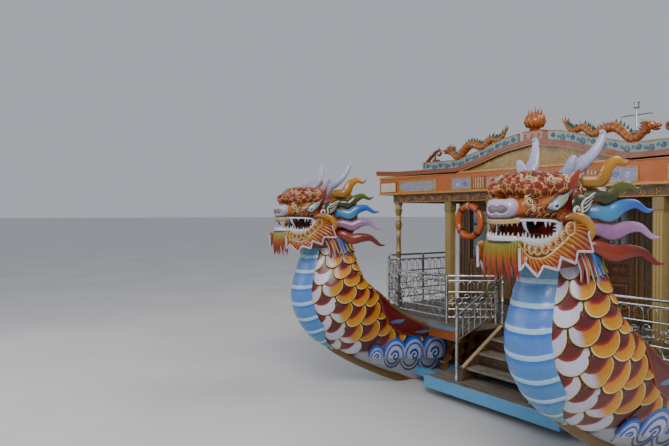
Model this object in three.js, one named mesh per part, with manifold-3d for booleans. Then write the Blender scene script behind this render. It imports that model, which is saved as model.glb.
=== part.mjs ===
// A double-hull river dragon boat: two dragon-headed hulls, one deck, a carved porch, a cabin and a gabled roof.
// Millimetres, +X to the bow, +Y to port, +Z up. The origin is amidships at the waterline.

import * as THREE from 'three';
import { mergeVertices } from 'three/addons/utils/BufferGeometryUtils.js';
import Module from 'manifold-3d';

const wasm = await Module();
wasm.setup();

const SIDES = [
  { name: 'port', way: 1 },
  { name: 'starboard', way: -1 },
];
const GAP = 0.4; // between pieces that touch
const CLEAR = 6; // around pieces that move

// Hulls
const HULL_Y = 1980; // each hull's centreline
const HULL_TOP = 950;
const BOW_X = 5400; // where the necks start
const STERN_X = -6900; // where the tails start
const RUB_RAIL = { start: -6700, end: 5200, low: 790, high: 890, out: 50 };
const WELL = { start: -6150, end: -4950, half: 330, floor: 120 };
const ENGINE = { length: 900, half: 260, height: 620 };

// Deck
const DECK_TOP = 1010;
const DECK_HALF = 3220;
const DECK_START = -6800;
const FOREDECK = { start: 4760, bend: 5270, half: 2330 }; // the deck narrows over the bows
const BEAM_XS = [-6300, -4300, -2100, 100, 2300, 4300];
const OUTRIGGER = { start: 2700, end: 3150, low: 895 };
const STAIR = { start: 4580, half: 660, steps: 4, newel: 5490 };
const PLATFORM = { end: 5640, top: 300, half: 1160, thick: 50 };
const LANDING = { start: 5560, lift: 12 }; // the platform's front board stands a little above the rest
const LOW_BOARDS = PLATFORM.top - LANDING.lift;
const PLATFORM_BEAM = { depth: 180, width: 90, reach: 1830 };
const BITT = { x: 5080, y: 1430, height: 190, radius: 60 };
const HATCH = { start: -6200, end: -4900, half: 380, thick: 40 };

// Cabin and porch
const WALL_HALF = 3100;
const WALL_THICK = 60;
const CABIN = { aft: -4500, front: 2900 };
const TIE = { low: 3170, xs: [-4530, -2100, 400, 2930, 4540] };
const WALL_TOP = TIE.low - GAP;
const DOOR_TOP = 2840;
const FRONT_DOOR = { half: 500, thick: 40 };
const AFT_DOOR = { low: -900, high: -100, thick: 40 };
const POST_X = 4540;
const POST_YS = [-3060, -1740, -880, 880, 1740, 3060];
const HEAD_BEAM = { low: 2860, high: TIE.low - GAP, half: 75 };

// Roof
const ROOF = { aft: -5300, front: 4700, thick: 60 };
const ROOF_LINE = [
  { y: 0, z: 3710 },
  { y: 500, z: 3640 },
  { y: 1000, z: 3500 },
  { y: 1450, z: 3390 },
  { y: 2900, z: 3410 },
  { y: 3500, z: 3450 },
];
const FASCIA = { low: 3010, high: 3330 - GAP, half: 3420, thick: 45 };
const GABLE = { low: 3310, half: 1450, thick: 50 };
const CREST = { inner: 260, outer: 2280, band: 130, thick: 60 };
const MAST = { x: 2060, top: 4440, radius: 22 };

// Rails
const RAIL_HEIGHT = 900;
const RAIL_RADIUS = 20;
const RAIL_SIDE_Y = 3170;
const FRONT_RAIL_HEIGHT = 715;
// The porch rail's line from the cabin round to the stair; its front part is the lower one.
const SIDE_RAIL = [[3030, RAIL_SIDE_Y], [3850, RAIL_SIDE_Y], [4680, RAIL_SIDE_Y], [5200, 2250]];
const FRONT_RAIL = [[5200, 2250], [5200, 1140], [4620, 700]];
const AFT_RAIL = { front: -4620, aft: -6740 };

// Propulsion
const SHAFT = { z: -270, radius: 22, start: -5250 };
const PROPELLER = { x: -6330, radius: 185, hub: 48, blades: 3, thick: 26 };
const RUDDER = { x: -6640, front: 110, aft: 210, low: -500, high: -40, thick: 36, stock: 25 };
const HELM = { x: -4565, y: 800, half: 300, top: 1950, wheelZ: 1750, wheelRadius: 260 };

const COLOURS = {
  hull: 0xd2761e,
  scales: 0xc8511b,
  head: 0xe09a25,
  jaw: 0xb93a1b,
  mane: 0x3f7ccf,
  deck: 0x6f6a63,
  lightBlue: 0x5aa9dd,
  steel: 0xb9bcc0,
  gold: 0xc8933a,
  wall: 0x8a4a26,
  door: 0x7a2f1c,
  roof: 0x3e7a4d,
  fascia: 0xe0872a,
  crest: 0xd9722a,
  engine: 0x59636b,
  brass: 0xb48a3c,
  lifebuoy: 0xe0591f,
};

// Shape helpers

function triangles(geometry) {
  const bare = geometry.clone();
  bare.deleteAttribute('normal');
  bare.deleteAttribute('uv');
  const merged = mergeVertices(bare, 1e-3);
  const faces = [];
  for (let i = 0; i < merged.index.count; i += 3) {
    const a = merged.index.getX(i);
    const b = merged.index.getX(i + 1);
    const c = merged.index.getX(i + 2);
    if (a !== b && b !== c && c !== a) faces.push(a, b, c);
  }
  merged.setIndex(faces);
  return merged;
}

function volume(geometry) {
  const p = geometry.attributes.position;
  const corners = [new THREE.Vector3(), new THREE.Vector3(), new THREE.Vector3()];
  let total = 0;
  for (let i = 0; i < geometry.index.count; i += 3) {
    corners.forEach((corner, k) => corner.fromBufferAttribute(p, geometry.index.getX(i + k)));
    total += corners[0].dot(corners[1].cross(corners[2]));
  }
  return total / 6;
}

function solid(geometry) {
  const shape = triangles(geometry);
  const faces = Uint32Array.from(shape.index.array);
  if (volume(shape) < 0) {
    for (let i = 0; i < faces.length; i += 3) [faces[i], faces[i + 1]] = [faces[i + 1], faces[i]];
  }
  const points = Float32Array.from(shape.attributes.position.array);
  return new wasm.Manifold(new wasm.Mesh({ numProp: 3, vertProperties: points, triVerts: faces }));
}

function surface(body) {
  const mesh = body.getMesh();
  const geometry = new THREE.BufferGeometry();
  geometry.setAttribute('position', new THREE.BufferAttribute(mesh.vertProperties, 3));
  geometry.setIndex(new THREE.BufferAttribute(mesh.triVerts, 1));
  return geometry;
}

function join(geometries) {
  return geometries.map(solid).reduce((whole, piece) => whole.add(piece));
}

function block(x, y, z) {
  const size = [x, y, z].map(([low, high]) => high - low);
  const centre = [x, y, z].map(([low, high]) => (low + high) / 2);
  return new THREE.BoxGeometry(...size).translate(...centre);
}

function bar(from, to, radius, sides = 6) {
  const start = new THREE.Vector3(...from);
  const along = new THREE.Vector3(...to).sub(start);
  const geometry = new THREE.CylinderGeometry(radius, radius, along.length(), sides);
  geometry.translate(0, along.length() / 2, 0);
  const turn = new THREE.Quaternion().setFromUnitVectors(new THREE.Vector3(0, 1, 0), along.normalize());
  return geometry.applyQuaternion(turn).translate(...start.toArray());
}

// A closed skin over sections that have the same number of points each.
function loft(sections) {
  const count = sections[0].length;
  const points = sections.flat();
  const faces = [];
  for (let s = 0; s + 1 < sections.length; s += 1) {
    for (let i = 0; i < count; i += 1) {
      const a = s * count + i;
      const b = s * count + ((i + 1) % count);
      faces.push(a, b, b + count, a, b + count, a + count);
    }
  }
  const ends = [
    { start: 0, flip: true },
    { start: (sections.length - 1) * count, flip: false },
  ];
  for (const end of ends) {
    const middle = new THREE.Vector3();
    for (let i = 0; i < count; i += 1) middle.addScaledVector(points[end.start + i], 1 / count);
    points.push(middle);
    for (let i = 0; i < count; i += 1) {
      const a = end.start + i;
      const b = end.start + ((i + 1) % count);
      faces.push(...(end.flip ? [b, a, points.length - 1] : [a, b, points.length - 1]));
    }
  }
  const geometry = new THREE.BufferGeometry().setFromPoints(points);
  geometry.setIndex(faces);
  return geometry;
}

// One upright section: its top and bottom points (x, z), and its half widths at five levels from top to bottom.
const LEVELS = [0, 0.2, 0.5, 0.8, 1];
const SIDE_STEPS = 7; // points down each side of a section

// A smooth curve through the values, at place (a whole number is the value itself).
function smooth(values, place) {
  const i = Math.min(Math.floor(place), values.length - 2);
  const t = place - i;
  const at = (k) => values[Math.min(Math.max(k, 0), values.length - 1)];
  const [a, b, c, d] = [at(i - 1), at(i), at(i + 1), at(i + 2)];
  return b + 0.5 * t * (c - a + t * (2 * a - 5 * b + 4 * c - d + t * (3 * (b - c) + d - a)));
}

function section(row, y = 0) {
  const [topX, topZ, lowX, lowZ, ...halves] = row;
  const sidePoints = Array.from({ length: SIDE_STEPS }, (_, i) => {
    const place = (4 * i) / (SIDE_STEPS - 1);
    const level = smooth(LEVELS, place);
    return {
      x: THREE.MathUtils.lerp(topX, lowX, level),
      z: THREE.MathUtils.lerp(topZ, lowZ, level),
      half: smooth(halves, place),
    };
  });
  const left = sidePoints.map((p) => new THREE.Vector3(p.x, y + p.half, p.z));
  const right = sidePoints.map((p) => new THREE.Vector3(p.x, y - p.half, p.z));
  return [...left, ...right.reverse()];
}

// Sections through a table's rows, with more of them between the rows.
function smoothLoft(rows, y = 0, steps = 2) {
  const places = Array.from({ length: (rows.length - 1) * steps + 1 }, (_, i) => i / steps);
  const column = (k) => rows.map((row) => row[k]);
  return loft(places.map((place) => section(rows[0].map((_, k) => smooth(column(k), place)), y)));
}

// A tapered, curved horn, flame or strand: its centre line's points with a radius each, and a flatness across Y.
function taper(rows, sides = 6, flat = 1) {
  const curve = new THREE.CatmullRomCurve3(rows.map((row) => new THREE.Vector3(row.x, row.y, row.z)));
  const sections = rows.map((row, i) => {
    const along = curve.getTangent(i / (rows.length - 1));
    const across = new THREE.Vector3(0, 1, 0).cross(along).normalize();
    const other = along.clone().cross(across).normalize();
    return Array.from({ length: sides }, (_, k) => {
      const angle = (2 * Math.PI * k) / sides;
      return new THREE.Vector3(row.x, row.y, row.z)
        .addScaledVector(across, row.radius * Math.cos(angle))
        .addScaledVector(other, row.radius * flat * Math.sin(angle));
    });
  });
  return loft(sections);
}

// A plate standing across the boat: an outline of [y, z] points, from x on by its thickness.
function plate(outline, x, thick) {
  const shape = new THREE.Shape(outline.map(([y, z]) => new THREE.Vector2(y, z)));
  const geometry = new THREE.ExtrudeGeometry(shape, { depth: thick, bevelEnabled: false });
  const turn = new THREE.Matrix4().makeBasis(
    new THREE.Vector3(0, 1, 0),
    new THREE.Vector3(0, 0, 1),
    new THREE.Vector3(1, 0, 0),
  );
  return geometry.applyMatrix4(turn).translate(x, 0, 0);
}

// Hulls, necks and tails
// Columns: top x, top z, keel x, keel z, then half widths at the five levels.
const HULL_ROWS = [
  [STERN_X, 950, STERN_X, 150, 500, 480, 420, 260, 60],
  [-6100, 950, -6100, -120, 580, 570, 520, 380, 90],
  [-5300, 950, -5300, -400, 620, 615, 590, 470, 120],
  [-3500, 950, -3500, -440, 645, 645, 625, 540, 170],
  [0, 950, 0, -450, 650, 650, 640, 560, 180],
  [3000, 950, 3000, -440, 650, 645, 620, 500, 140],
  [4300, 950, 4300, -370, 640, 625, 560, 380, 90],
  [5000, 950, 5000, -120, 630, 600, 480, 260, 70],
  [BOW_X, 950, BOW_X, 80, 620, 590, 450, 220, 60],
];
const NECK_ROWS = [
  [BOW_X + GAP, 950, BOW_X + GAP, 80, 620, 590, 450, 220, 60],
  [5720, 1080, 5780, 235, 590, 570, 470, 260, 70],
  [5980, 1250, 6260, 470, 530, 560, 490, 310, 100],
  [6150, 1420, 6680, 715, 470, 550, 500, 360, 135],
  [6290, 1560, 6990, 920, 410, 540, 500, 380, 160],
  [6400, 1690, 7200, 1200, 360, 520, 490, 360, 175],
  [6460, 1830, 7280, 1500, 310, 490, 465, 330, 170],
  [6500, 1970, 7220, 1800, 270, 440, 420, 290, 160],
  [6530, 2130, 7120, 2090, 230, 380, 365, 260, 145],
  [6540, 2250, 7070, 2250, 210, 330, 320, 240, 135],
];
const TAIL_ROWS = [
  [STERN_X - GAP, 950, STERN_X - GAP, 150, 500, 480, 420, 260, 60],
  [-7150, 1120, -7380, 520, 330, 350, 310, 210, 60],
  [-7270, 1450, -7620, 1120, 190, 215, 210, 150, 50],
  [-7330, 1850, -7650, 1700, 130, 150, 150, 110, 40],
  [-7480, 2180, -7740, 2080, 95, 110, 110, 80, 30],
  [-7700, 2420, -7880, 2330, 50, 60, 60, 45, 20],
];
const TAIL_FINS = [
  { start: [-7420, 2050], middle: [-7330, 2420], tip: [-7480, 2760], radius: 95 },
  { start: [-7640, 2280], middle: [-7640, 2620], tip: [-7820, 2900], radius: 85 },
  { start: [-7760, 2280], middle: [-7880, 2480], tip: [-7985, 2700], radius: 70 },
];

function rubRail(y, way) {
  const rows = HULL_ROWS.filter((row) => row[0] > RUB_RAIL.start && row[0] < RUB_RAIL.end);
  return loft(
    rows.map(([x, , , , , half]) => {
      const outer = y + way * (half + RUB_RAIL.out);
      const inner = y + way * (half - 60);
      return [
        new THREE.Vector3(x, outer, RUB_RAIL.low),
        new THREE.Vector3(x, outer, RUB_RAIL.high),
        new THREE.Vector3(x, inner, RUB_RAIL.high),
        new THREE.Vector3(x, inner, RUB_RAIL.low),
      ];
    }),
  );
}

function hull(y, way) {
  const shell = join([smoothLoft(HULL_ROWS, y), rubRail(y, way)]);
  const well = block([WELL.start, WELL.end], [y - WELL.half, y + WELL.half], [WELL.floor, HULL_TOP + 10]);
  const stockHole = bar([RUDDER.x, y, -200], [RUDDER.x, y, 700], RUDDER.stock + CLEAR, 12);
  return shell.subtract(solid(well)).subtract(solid(stockHole));
}

function neck(y) {
  return join([smoothLoft(NECK_ROWS, y, 3)]);
}

function tail(y) {
  const fins = TAIL_FINS.map(({ start, middle, tip, radius }) =>
    taper(
      [
        { x: start[0], y, z: start[1], radius: radius * 0.8 },
        { x: middle[0], y, z: middle[1], radius },
        { x: tip[0], y, z: tip[1], radius: 8 },
      ],
      6,
      0.35,
    ),
  );
  return join([smoothLoft(TAIL_ROWS, y), ...fins]);
}

// Dragon heads, in a frame on top of the neck: x forward from the neck's axis, z up from its top
const HEAD = { x: 6886, z: 2250 + GAP };
const SKULL_ROWS = [
  [-330, 560, -330, 200, 120, 210, 255, 220, 130],
  [-200, 700, -200, 0, 185, 320, 370, 310, 200],
  [0, 760, 0, 0, 220, 350, 385, 340, 220],
  [200, 775, 200, 0, 230, 365, 385, 330, 210],
  [342, 770, 342, 60, 218, 347, 362, 327, 218],
  [349, 770, 349, 300, 218, 336, 361, 346, 316],
  [487, 745, 487, 320, 186, 274, 283, 279, 252],
  [597, 720, 597, 330, 146, 209, 217, 221, 205],
  [674, 650, 674, 340, 110, 160, 175, 190, 175],
  [716, 575, 716, 345, 110, 148, 163, 167, 156],
  [772, 530, 772, 365, 76, 125, 152, 141, 110],
  [789, 480, 789, 400, 50, 84, 110, 99, 68],
];
const JAW_ROWS = [
  [349 + GAP, 200, 349 + GAP, 40, 272, 312, 316, 272, 163],
  [487, 195, 487, 50, 234, 256, 256, 212, 128],
  [623, 190, 623, 70, 171, 194, 186, 155, 93],
  [716, 195, 716, 110, 125, 152, 141, 110, 76],
  [746, 180, 746, 130, 76, 99, 91, 76, 50],
];
const BEARD_ROWS = [
  [589, 120, 725, 140, 134, 174, 174, 154, 126],
  [631, 20, 746, 20, 109, 148, 152, 133, 109],
  [665, -110, 733, -110, 53, 80, 80, 69, 53],
];
const HORN = [
  { x: 110, y: 210, z: 700, radius: 75 },
  { x: 50, y: 235, z: 800, radius: 65 },
  { x: -60, y: 275, z: 870, radius: 55 },
  { x: -155, y: 320, z: 960, radius: 42 },
  { x: -215, y: 355, z: 1075, radius: 28 },
  { x: -240, y: 370, z: 1160, radius: 14 },
];
const HORN_BRANCH = [
  { x: 115, y: 240, z: 760, radius: 42 },
  { x: 110, y: 270, z: 850, radius: 30 },
  { x: 92, y: 300, z: 920, radius: 10 },
];
const EAR = [
  { x: 285, y: 335, z: 590, radius: 65 },
  { x: 240, y: 375, z: 680, radius: 50 },
  { x: 200, y: 425, z: 780, radius: 8 },
];
const CHEEK = { x: 150, y: 370, z: 270, radius: 130, flat: 0.3 };

function mirrored(rows) {
  return rows.map((row) => ({ ...row, y: -row.y }));
}

function pairOf(rows, sides, flat) {
  return [taper(rows, sides, flat), taper(mirrored(rows), sides, flat)];
}

function head() {
  const cheeks = SIDES.map(({ way }) =>
    new THREE.SphereGeometry(CHEEK.radius, 12, 8)
      .scale(1, CHEEK.flat, 1)
      .translate(CHEEK.x, way * CHEEK.y, CHEEK.z),
  );
  return join([
    loft(SKULL_ROWS.map((row) => section(row))),
    ...pairOf(HORN, 8, 1),
    ...pairOf(HORN_BRANCH, 6, 1),
    ...pairOf(EAR, 6, 0.35),
    ...cheeks,
  ]);
}

function jaw() {
  return join([loft(JAW_ROWS.map((row) => section(row))), loft(BEARD_ROWS.map((row) => section(row)))]);
}

// The mane: five flames a side on a pad that wraps the back of the head, with the zigzag frill below it
const FLAMES = [
  { root: [-60, 415, 700], middle: [-180, 450, 815], tip: [-430, 500, 896], radius: 70 },
  { root: [-80, 425, 560], middle: [-220, 500, 600], tip: [-490, 590, 654], radius: 70 },
  { root: [-60, 425, 420], middle: [-230, 540, 455], tip: [-530, 680, 449], radius: 75 },
  { root: [-80, 425, 270], middle: [-280, 560, 270], tip: [-550, 720, 200], radius: 75 },
  { root: [-60, 425, 115], middle: [-290, 570, 60], tip: [-580, 740, -35], radius: 80 },
];
const MANE_PAD = { front: 10, back: -425, inner: 398, outer: 455, skull: -345, low: 30, high: 760 };
const FRILL = { bend: 200, end: 750, wide: 442, narrow: 262, half: 12 };
// Columns: x, lower edge z and upper edge z of the frill, from the back to its front point.
const FRILL_ROWS = [
  [-380, 60, 200], [0, 90, 240], [100, 130, 330], [150, 270, 345], [230, 20, 330], [368, 70, 190],
  [427, -40, 180], [521, 10, 175], [589, -80, 170], [682, -10, 165], [733, -60, 160], [750, 60, 150],
];

function flame({ root, middle, tip, radius }) {
  const at = ([x, y, z], part) => ({ x, y, z, radius: radius * part });
  const between = (a, b, t, lift) => a.map((v, i) => THREE.MathUtils.lerp(v, b[i], t) + (i === 2 ? lift : 0));
  return [
    at(root, 0.85),
    at(between(root, middle, 0.5, -10), 1),
    at(middle, 0.85),
    at(between(middle, tip, 0.5, 15), 0.55),
    at(between(middle, tip, 0.8, -10), 0.3),
    at(tip, 0.08),
  ];
}

function frillSide(way) {
  return loft(
    FRILL_ROWS.map(([x, low, high]) => {
      const bent = Math.max(0, (x - FRILL.bend) / (FRILL.end - FRILL.bend));
      const y = way * THREE.MathUtils.lerp(FRILL.wide, FRILL.narrow, bent);
      return [
        new THREE.Vector3(x, y - FRILL.half, low),
        new THREE.Vector3(x, y + FRILL.half, low),
        new THREE.Vector3(x, y + FRILL.half, high),
        new THREE.Vector3(x, y - FRILL.half, high),
      ];
    }),
  );
}

function mane() {
  const pad = MANE_PAD;
  const band = block([pad.back, pad.skull], [-pad.outer, pad.outer], [pad.low, pad.high]);
  const wings = SIDES.map(({ way }) => {
    const y = [way * pad.inner, way * pad.outer].sort((a, b) => a - b);
    return block([pad.back, pad.front], y, [pad.low, pad.high]);
  });
  const flames = FLAMES.flatMap((row) => pairOf(flame(row), 6, 0.5));
  const frills = SIDES.map(({ way }) => frillSide(way));
  return join([band, ...wings, ...flames, ...frills]);
}

// Deck, platform and stair

function deck() {
  const side = [
    [DECK_START, DECK_HALF],
    [FOREDECK.start, DECK_HALF],
    [FOREDECK.bend, FOREDECK.half],
    [BOW_X, FOREDECK.half],
  ];
  const outline = [...side, ...side.map(([x, y]) => [x, -y]).reverse()];
  const shape = new THREE.Shape(outline.map(([x, y]) => new THREE.Vector2(x, y)));
  const slab = new THREE.ExtrudeGeometry(shape, { depth: DECK_TOP - HULL_TOP, bevelEnabled: false });
  slab.translate(0, 0, HULL_TOP);
  const inner = HULL_Y - 660;
  const beams = BEAM_XS.flatMap((x) => [
    block([x - 50, x + 50], [-inner, inner], [720, HULL_TOP + 10]),
    block([x - 50, x + 50], [OUTRIGGER.start, OUTRIGGER.end], [OUTRIGGER.low, HULL_TOP + 10]),
    block([x - 50, x + 50], [-OUTRIGGER.end, -OUTRIGGER.start], [OUTRIGGER.low, HULL_TOP + 10]),
  ]);
  let whole = join([slab, ...beams]);
  const stairwell = block([STAIR.start, BOW_X + 10], [-STAIR.half, STAIR.half], [600, DECK_TOP + 10]);
  whole = whole.subtract(solid(stairwell));
  for (const { way } of SIDES) {
    const middle = way * HULL_Y;
    const hole = block(
      [WELL.start, WELL.end],
      [middle - WELL.half, middle + WELL.half],
      [HULL_TOP - 10, DECK_TOP + 10],
    );
    whole = whole.subtract(solid(hole));
  }
  return whole;
}

function bitt() {
  return join([bar([0, 0, 0], [0, 0, BITT.height], BITT.radius, 12)]);
}

function platform() {
  const start = STAIR.start + 60;
  const y = [-PLATFORM.half, PLATFORM.half];
  const low = PLATFORM.top - PLATFORM.thick;
  const landing = block([LANDING.start, PLATFORM.end], y, [low, PLATFORM.top]);
  const boards = block([start, LANDING.start + 10], y, [low, LOW_BOARDS]);
  const beams = [
    { x: start, half: PLATFORM_BEAM.reach },
    { x: 5200, half: PLATFORM_BEAM.reach },
    { x: PLATFORM.end - PLATFORM_BEAM.width, half: PLATFORM.half },
  ].map(({ x, half }) =>
    block([x, x + PLATFORM_BEAM.width], [-half, half], [PLATFORM.top - PLATFORM_BEAM.depth, LOW_BOARDS - 5]),
  );
  let whole = join([landing, boards, ...beams]);
  for (const { way } of SIDES) {
    for (const bow of [hull(way * HULL_Y, way), neck(way * HULL_Y)]) {
      for (const shift of [0, 1, 2]) {
        whole = whole.subtract(bow.translate([0, -way * GAP * shift, 0]));
      }
    }
  }
  const reach = PLATFORM_BEAM.reach;
  const middle = solid(block([start - 10, PLATFORM.end + 10], [-reach, reach], [-200, 400]));
  return largest(whole.intersect(middle));
}

function largest(body) {
  return body.decompose().reduce((best, piece) => (piece.volume() > best.volume() ? piece : best));
}

function stair() {
  const rise = (DECK_TOP - PLATFORM.top) / STAIR.steps;
  const run = (BOW_X - 50 - STAIR.start) / (STAIR.steps - 1);
  const half = STAIR.half - 20;
  const treads = [];
  for (let i = 1; i < STAIR.steps; i += 1) {
    const front = BOW_X - 50 - (i - 1) * run;
    const z = PLATFORM.top + i * rise;
    treads.push(block([front - run - 20, front], [-half + 20, half - 20], [z - 40, z]));
  }
  const stringers = SIDES.map(({ way }) => {
    const outline = [
      [BOW_X, LOW_BOARDS + GAP],
      [BOW_X, PLATFORM.top + rise],
      [STAIR.start + 10, DECK_TOP - 20],
      [STAIR.start + 10, DECK_TOP - 330],
      [BOW_X - 260, LOW_BOARDS + GAP],
    ];
    const shape = new THREE.Shape(outline.map(([x, z]) => new THREE.Vector2(x, z)));
    const side = new THREE.ExtrudeGeometry(shape, { depth: 40, bevelEnabled: false });
    return side.rotateX(Math.PI / 2).translate(0, way > 0 ? half : -half + 40, 0);
  });
  return join([...treads, ...stringers]);
}

// Rails

function posts(places, foot, height) {
  return places.map(([x, y]) => bar([x, y, foot], [x, y, foot + height], RAIL_RADIUS + 5));
}

function longBars(from, to, heights) {
  return heights.map((z) => bar([from[0], from[1], z], [to[0], to[1], z], RAIL_RADIUS));
}

function porchRail(way) {
  const foot = DECK_TOP + GAP;
  const line = (points, heights) => {
    const places = points.map(([x, y]) => [x, way * y]);
    const bars = places.slice(1).flatMap((to, i) => longBars(places[i], to, heights.map((z) => foot + z)));
    return [...posts(places, foot, heights[heights.length - 1]), ...bars];
  };
  return join([
    ...line(SIDE_RAIL, [120, 500, RAIL_HEIGHT]),
    ...line(FRONT_RAIL, [120, 420, FRONT_RAIL_HEIGHT]),
  ]);
}

function aftRail() {
  const foot = DECK_TOP + GAP;
  const heights = [120, 520, RAIL_HEIGHT].map((z) => foot + z);
  const ys = [-RAIL_SIDE_Y, -1050, 1050, RAIL_SIDE_Y];
  const sidePlaces = SIDES.flatMap(({ way }) => [
    [AFT_RAIL.front, way * RAIL_SIDE_Y],
    [-5680, way * RAIL_SIDE_Y],
  ]);
  return join([
    ...posts([...sidePlaces, ...ys.map((y) => [AFT_RAIL.aft, y])], foot, RAIL_HEIGHT),
    ...SIDES.flatMap(({ way }) =>
      longBars([AFT_RAIL.front, way * RAIL_SIDE_Y], [AFT_RAIL.aft, way * RAIL_SIDE_Y], heights),
    ),
    ...longBars([AFT_RAIL.aft, -RAIL_SIDE_Y], [AFT_RAIL.aft, RAIL_SIDE_Y], heights),
  ]);
}

function stairRail(way) {
  const y = way * (STAIR.half - 22);
  const low = [STAIR.newel, y, LOW_BOARDS + GAP];
  const high = [STAIR.start - 40, y, DECK_TOP + GAP];
  const lift = (point, z) => [point[0], point[1], point[2] + z];
  return join([
    bar(low, lift(low, 1080), RAIL_RADIUS + 10),
    bar(high, lift(high, 730), RAIL_RADIUS + 5),
    bar(lift(low, 920), lift(high, 690), RAIL_RADIUS),
    bar(lift(low, 550), lift(high, 240), RAIL_RADIUS),
  ]);
}

// Porch and cabin

function turnedPost(x, y) {
  const foot = DECK_TOP + GAP;
  const height = HEAD_BEAM.low - foot + 10;
  const profile = [
    [0, 0], [75, 0], [75, 120], [50, 160], [62, 260], [42, 330], [42, 1000],
    [58, 1040], [42, 1080], [42, 1650], [60, 1720], [48, 1800], [70, 1880], [70, height], [0, height],
  ];
  const lathe = new THREE.LatheGeometry(profile.map(([r, z]) => new THREE.Vector2(r, z)), 10);
  return lathe.rotateX(Math.PI / 2).translate(x, y, foot);
}

function porchFrame() {
  const beam = (x, y) => block(x, y, [HEAD_BEAM.low, HEAD_BEAM.high]);
  const half = HEAD_BEAM.half;
  const outer = POST_YS[POST_YS.length - 1];
  return join([
    ...POST_YS.map((y) => turnedPost(POST_X, y)),
    beam([POST_X - half, POST_X + half], [-outer - half, outer + half]),
    ...SIDES.map(({ way }) =>
      beam([CABIN.front + WALL_THICK + 2 * GAP, POST_X], [way * outer - half, way * outer + half]),
    ),
  ]);
}

const SIDE_WINDOWS = { count: 5, width: 1150, low: 1800, high: 2750 };

function sideWall(way) {
  const outer = way * WALL_HALF;
  const inner = way * (WALL_HALF - WALL_THICK);
  const y = [Math.min(outer, inner), Math.max(outer, inner)];
  const length = CABIN.front - CABIN.aft;
  let wall = solid(block([CABIN.aft, CABIN.front], y, [DECK_TOP + GAP, WALL_TOP]));
  for (let i = 0; i < SIDE_WINDOWS.count; i += 1) {
    const middle = CABIN.aft + (length * (i + 0.5)) / SIDE_WINDOWS.count;
    const x = [middle - SIDE_WINDOWS.width / 2, middle + SIDE_WINDOWS.width / 2];
    wall = wall.subtract(solid(block(x, [y[0] - 10, y[1] + 10], [SIDE_WINDOWS.low, SIDE_WINDOWS.high])));
  }
  return wall;
}

// An end wall with holes, each a [low, high] pair in y and in z.
function endWall(x, holes) {
  const face = [x, x + WALL_THICK];
  let wall = solid(block(face, [-WALL_HALF, WALL_HALF], [DECK_TOP + GAP, WALL_TOP]));
  for (const { y, z } of holes) {
    wall = wall.subtract(solid(block([x - 10, x + WALL_THICK + 10], y, z)));
  }
  return wall;
}

function frontWall() {
  const windows = SIDES.map(({ way }) => ({
    y: way > 0 ? [900, 2800] : [-2800, -900],
    z: [1800, 2750],
  }));
  const doorway = { y: [-FRONT_DOOR.half, FRONT_DOOR.half], z: [DECK_TOP - 10, DOOR_TOP] };
  return endWall(CABIN.front + GAP, [...windows, doorway]);
}

function aftWall() {
  const doorway = { y: [AFT_DOOR.low, AFT_DOOR.high], z: [DECK_TOP - 10, DOOR_TOP] };
  return endWall(CABIN.aft - WALL_THICK - GAP, [doorway, { y: [300, 1700], z: [2000, 2750] }]);
}

function doorLeaf(x, y) {
  return block(x, y, [DECK_TOP + CLEAR, DOOR_TOP - CLEAR]);
}

function frontDoor(way) {
  const y = [CLEAR / 2, FRONT_DOOR.half - CLEAR].map((v) => way * v).sort((a, b) => a - b);
  const x = CABIN.front + WALL_THICK + GAP;
  return solid(doorLeaf([x - FRONT_DOOR.thick, x], y));
}

function aftDoor() {
  const x = CABIN.aft - WALL_THICK - GAP;
  return solid(doorLeaf([x, x + AFT_DOOR.thick], [AFT_DOOR.low + CLEAR, AFT_DOOR.high - CLEAR]));
}

// Roof

function roofOutline(lift) {
  const right = ROOF_LINE.map(({ y, z }) => [y, z + lift]);
  const left = ROOF_LINE.slice(1).map(({ y, z }) => [-y, z + lift]);
  return [...left.reverse(), ...right];
}

function roof() {
  const outline = [...roofOutline(0), ...roofOutline(-ROOF.thick).reverse()];
  return solid(plate(outline, ROOF.aft, ROOF.front - ROOF.aft));
}

function roofHeight(y) {
  const end = ROOF_LINE.findIndex((row) => row.y >= y);
  const [a, b] = [ROOF_LINE[Math.max(end - 1, 0)], ROOF_LINE[end]];
  return a === b ? a.z : THREE.MathUtils.mapLinear(y, a.y, b.y, a.z, b.z);
}

function gable(x) {
  const under = ROOF_LINE.filter((row) => row.y < GABLE.half).map(({ y, z }) => [y, z - ROOF.thick - GAP]);
  under.push([GABLE.half, roofHeight(GABLE.half) - ROOF.thick - GAP]);
  const left = under.slice(1).map(([y, z]) => [-y, z]);
  const outline = [[-GABLE.half, GABLE.low], ...left.reverse(), ...under, [GABLE.half, GABLE.low]];
  return solid(plate(outline, x, GABLE.thick));
}

function eaves() {
  const ring = (half, front, aft, low, high) => block([aft, front], [-half, half], [low, high]);
  const front = ROOF.front - 5;
  const aft = ROOF.aft + 5;
  const inner = FASCIA.thick;
  const outside = solid(ring(FASCIA.half, front, aft, FASCIA.low, FASCIA.high));
  const inside = ring(FASCIA.half - inner, front - inner, aft + inner, FASCIA.low - 10, FASCIA.high + 10);
  const frame = outside.subtract(solid(inside));
  const ties = TIE.xs.map((x) =>
    block([x - 30, x + 30], [-FASCIA.half + 20, FASCIA.half - 20], [TIE.low, FASCIA.high]),
  );
  return frame.add(join(ties));
}

// The crest: a band on the roof's front edge, a wavy dragon on it with its head outwards, and an end curl
const CREST_DRAGON = { start: 500, end: 1600, waves: 1.6, height: 110, radius: 60, steps: 18 };
const CREST_CURL = [
  { y: 2240, lift: 60, radius: 40 },
  { y: 2120, lift: 150, radius: 62 },
  { y: 1990, lift: 240, radius: 62 },
  { y: 1890, lift: 330, radius: 45 },
  { y: 1830, lift: 320, radius: 20 },
];

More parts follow.
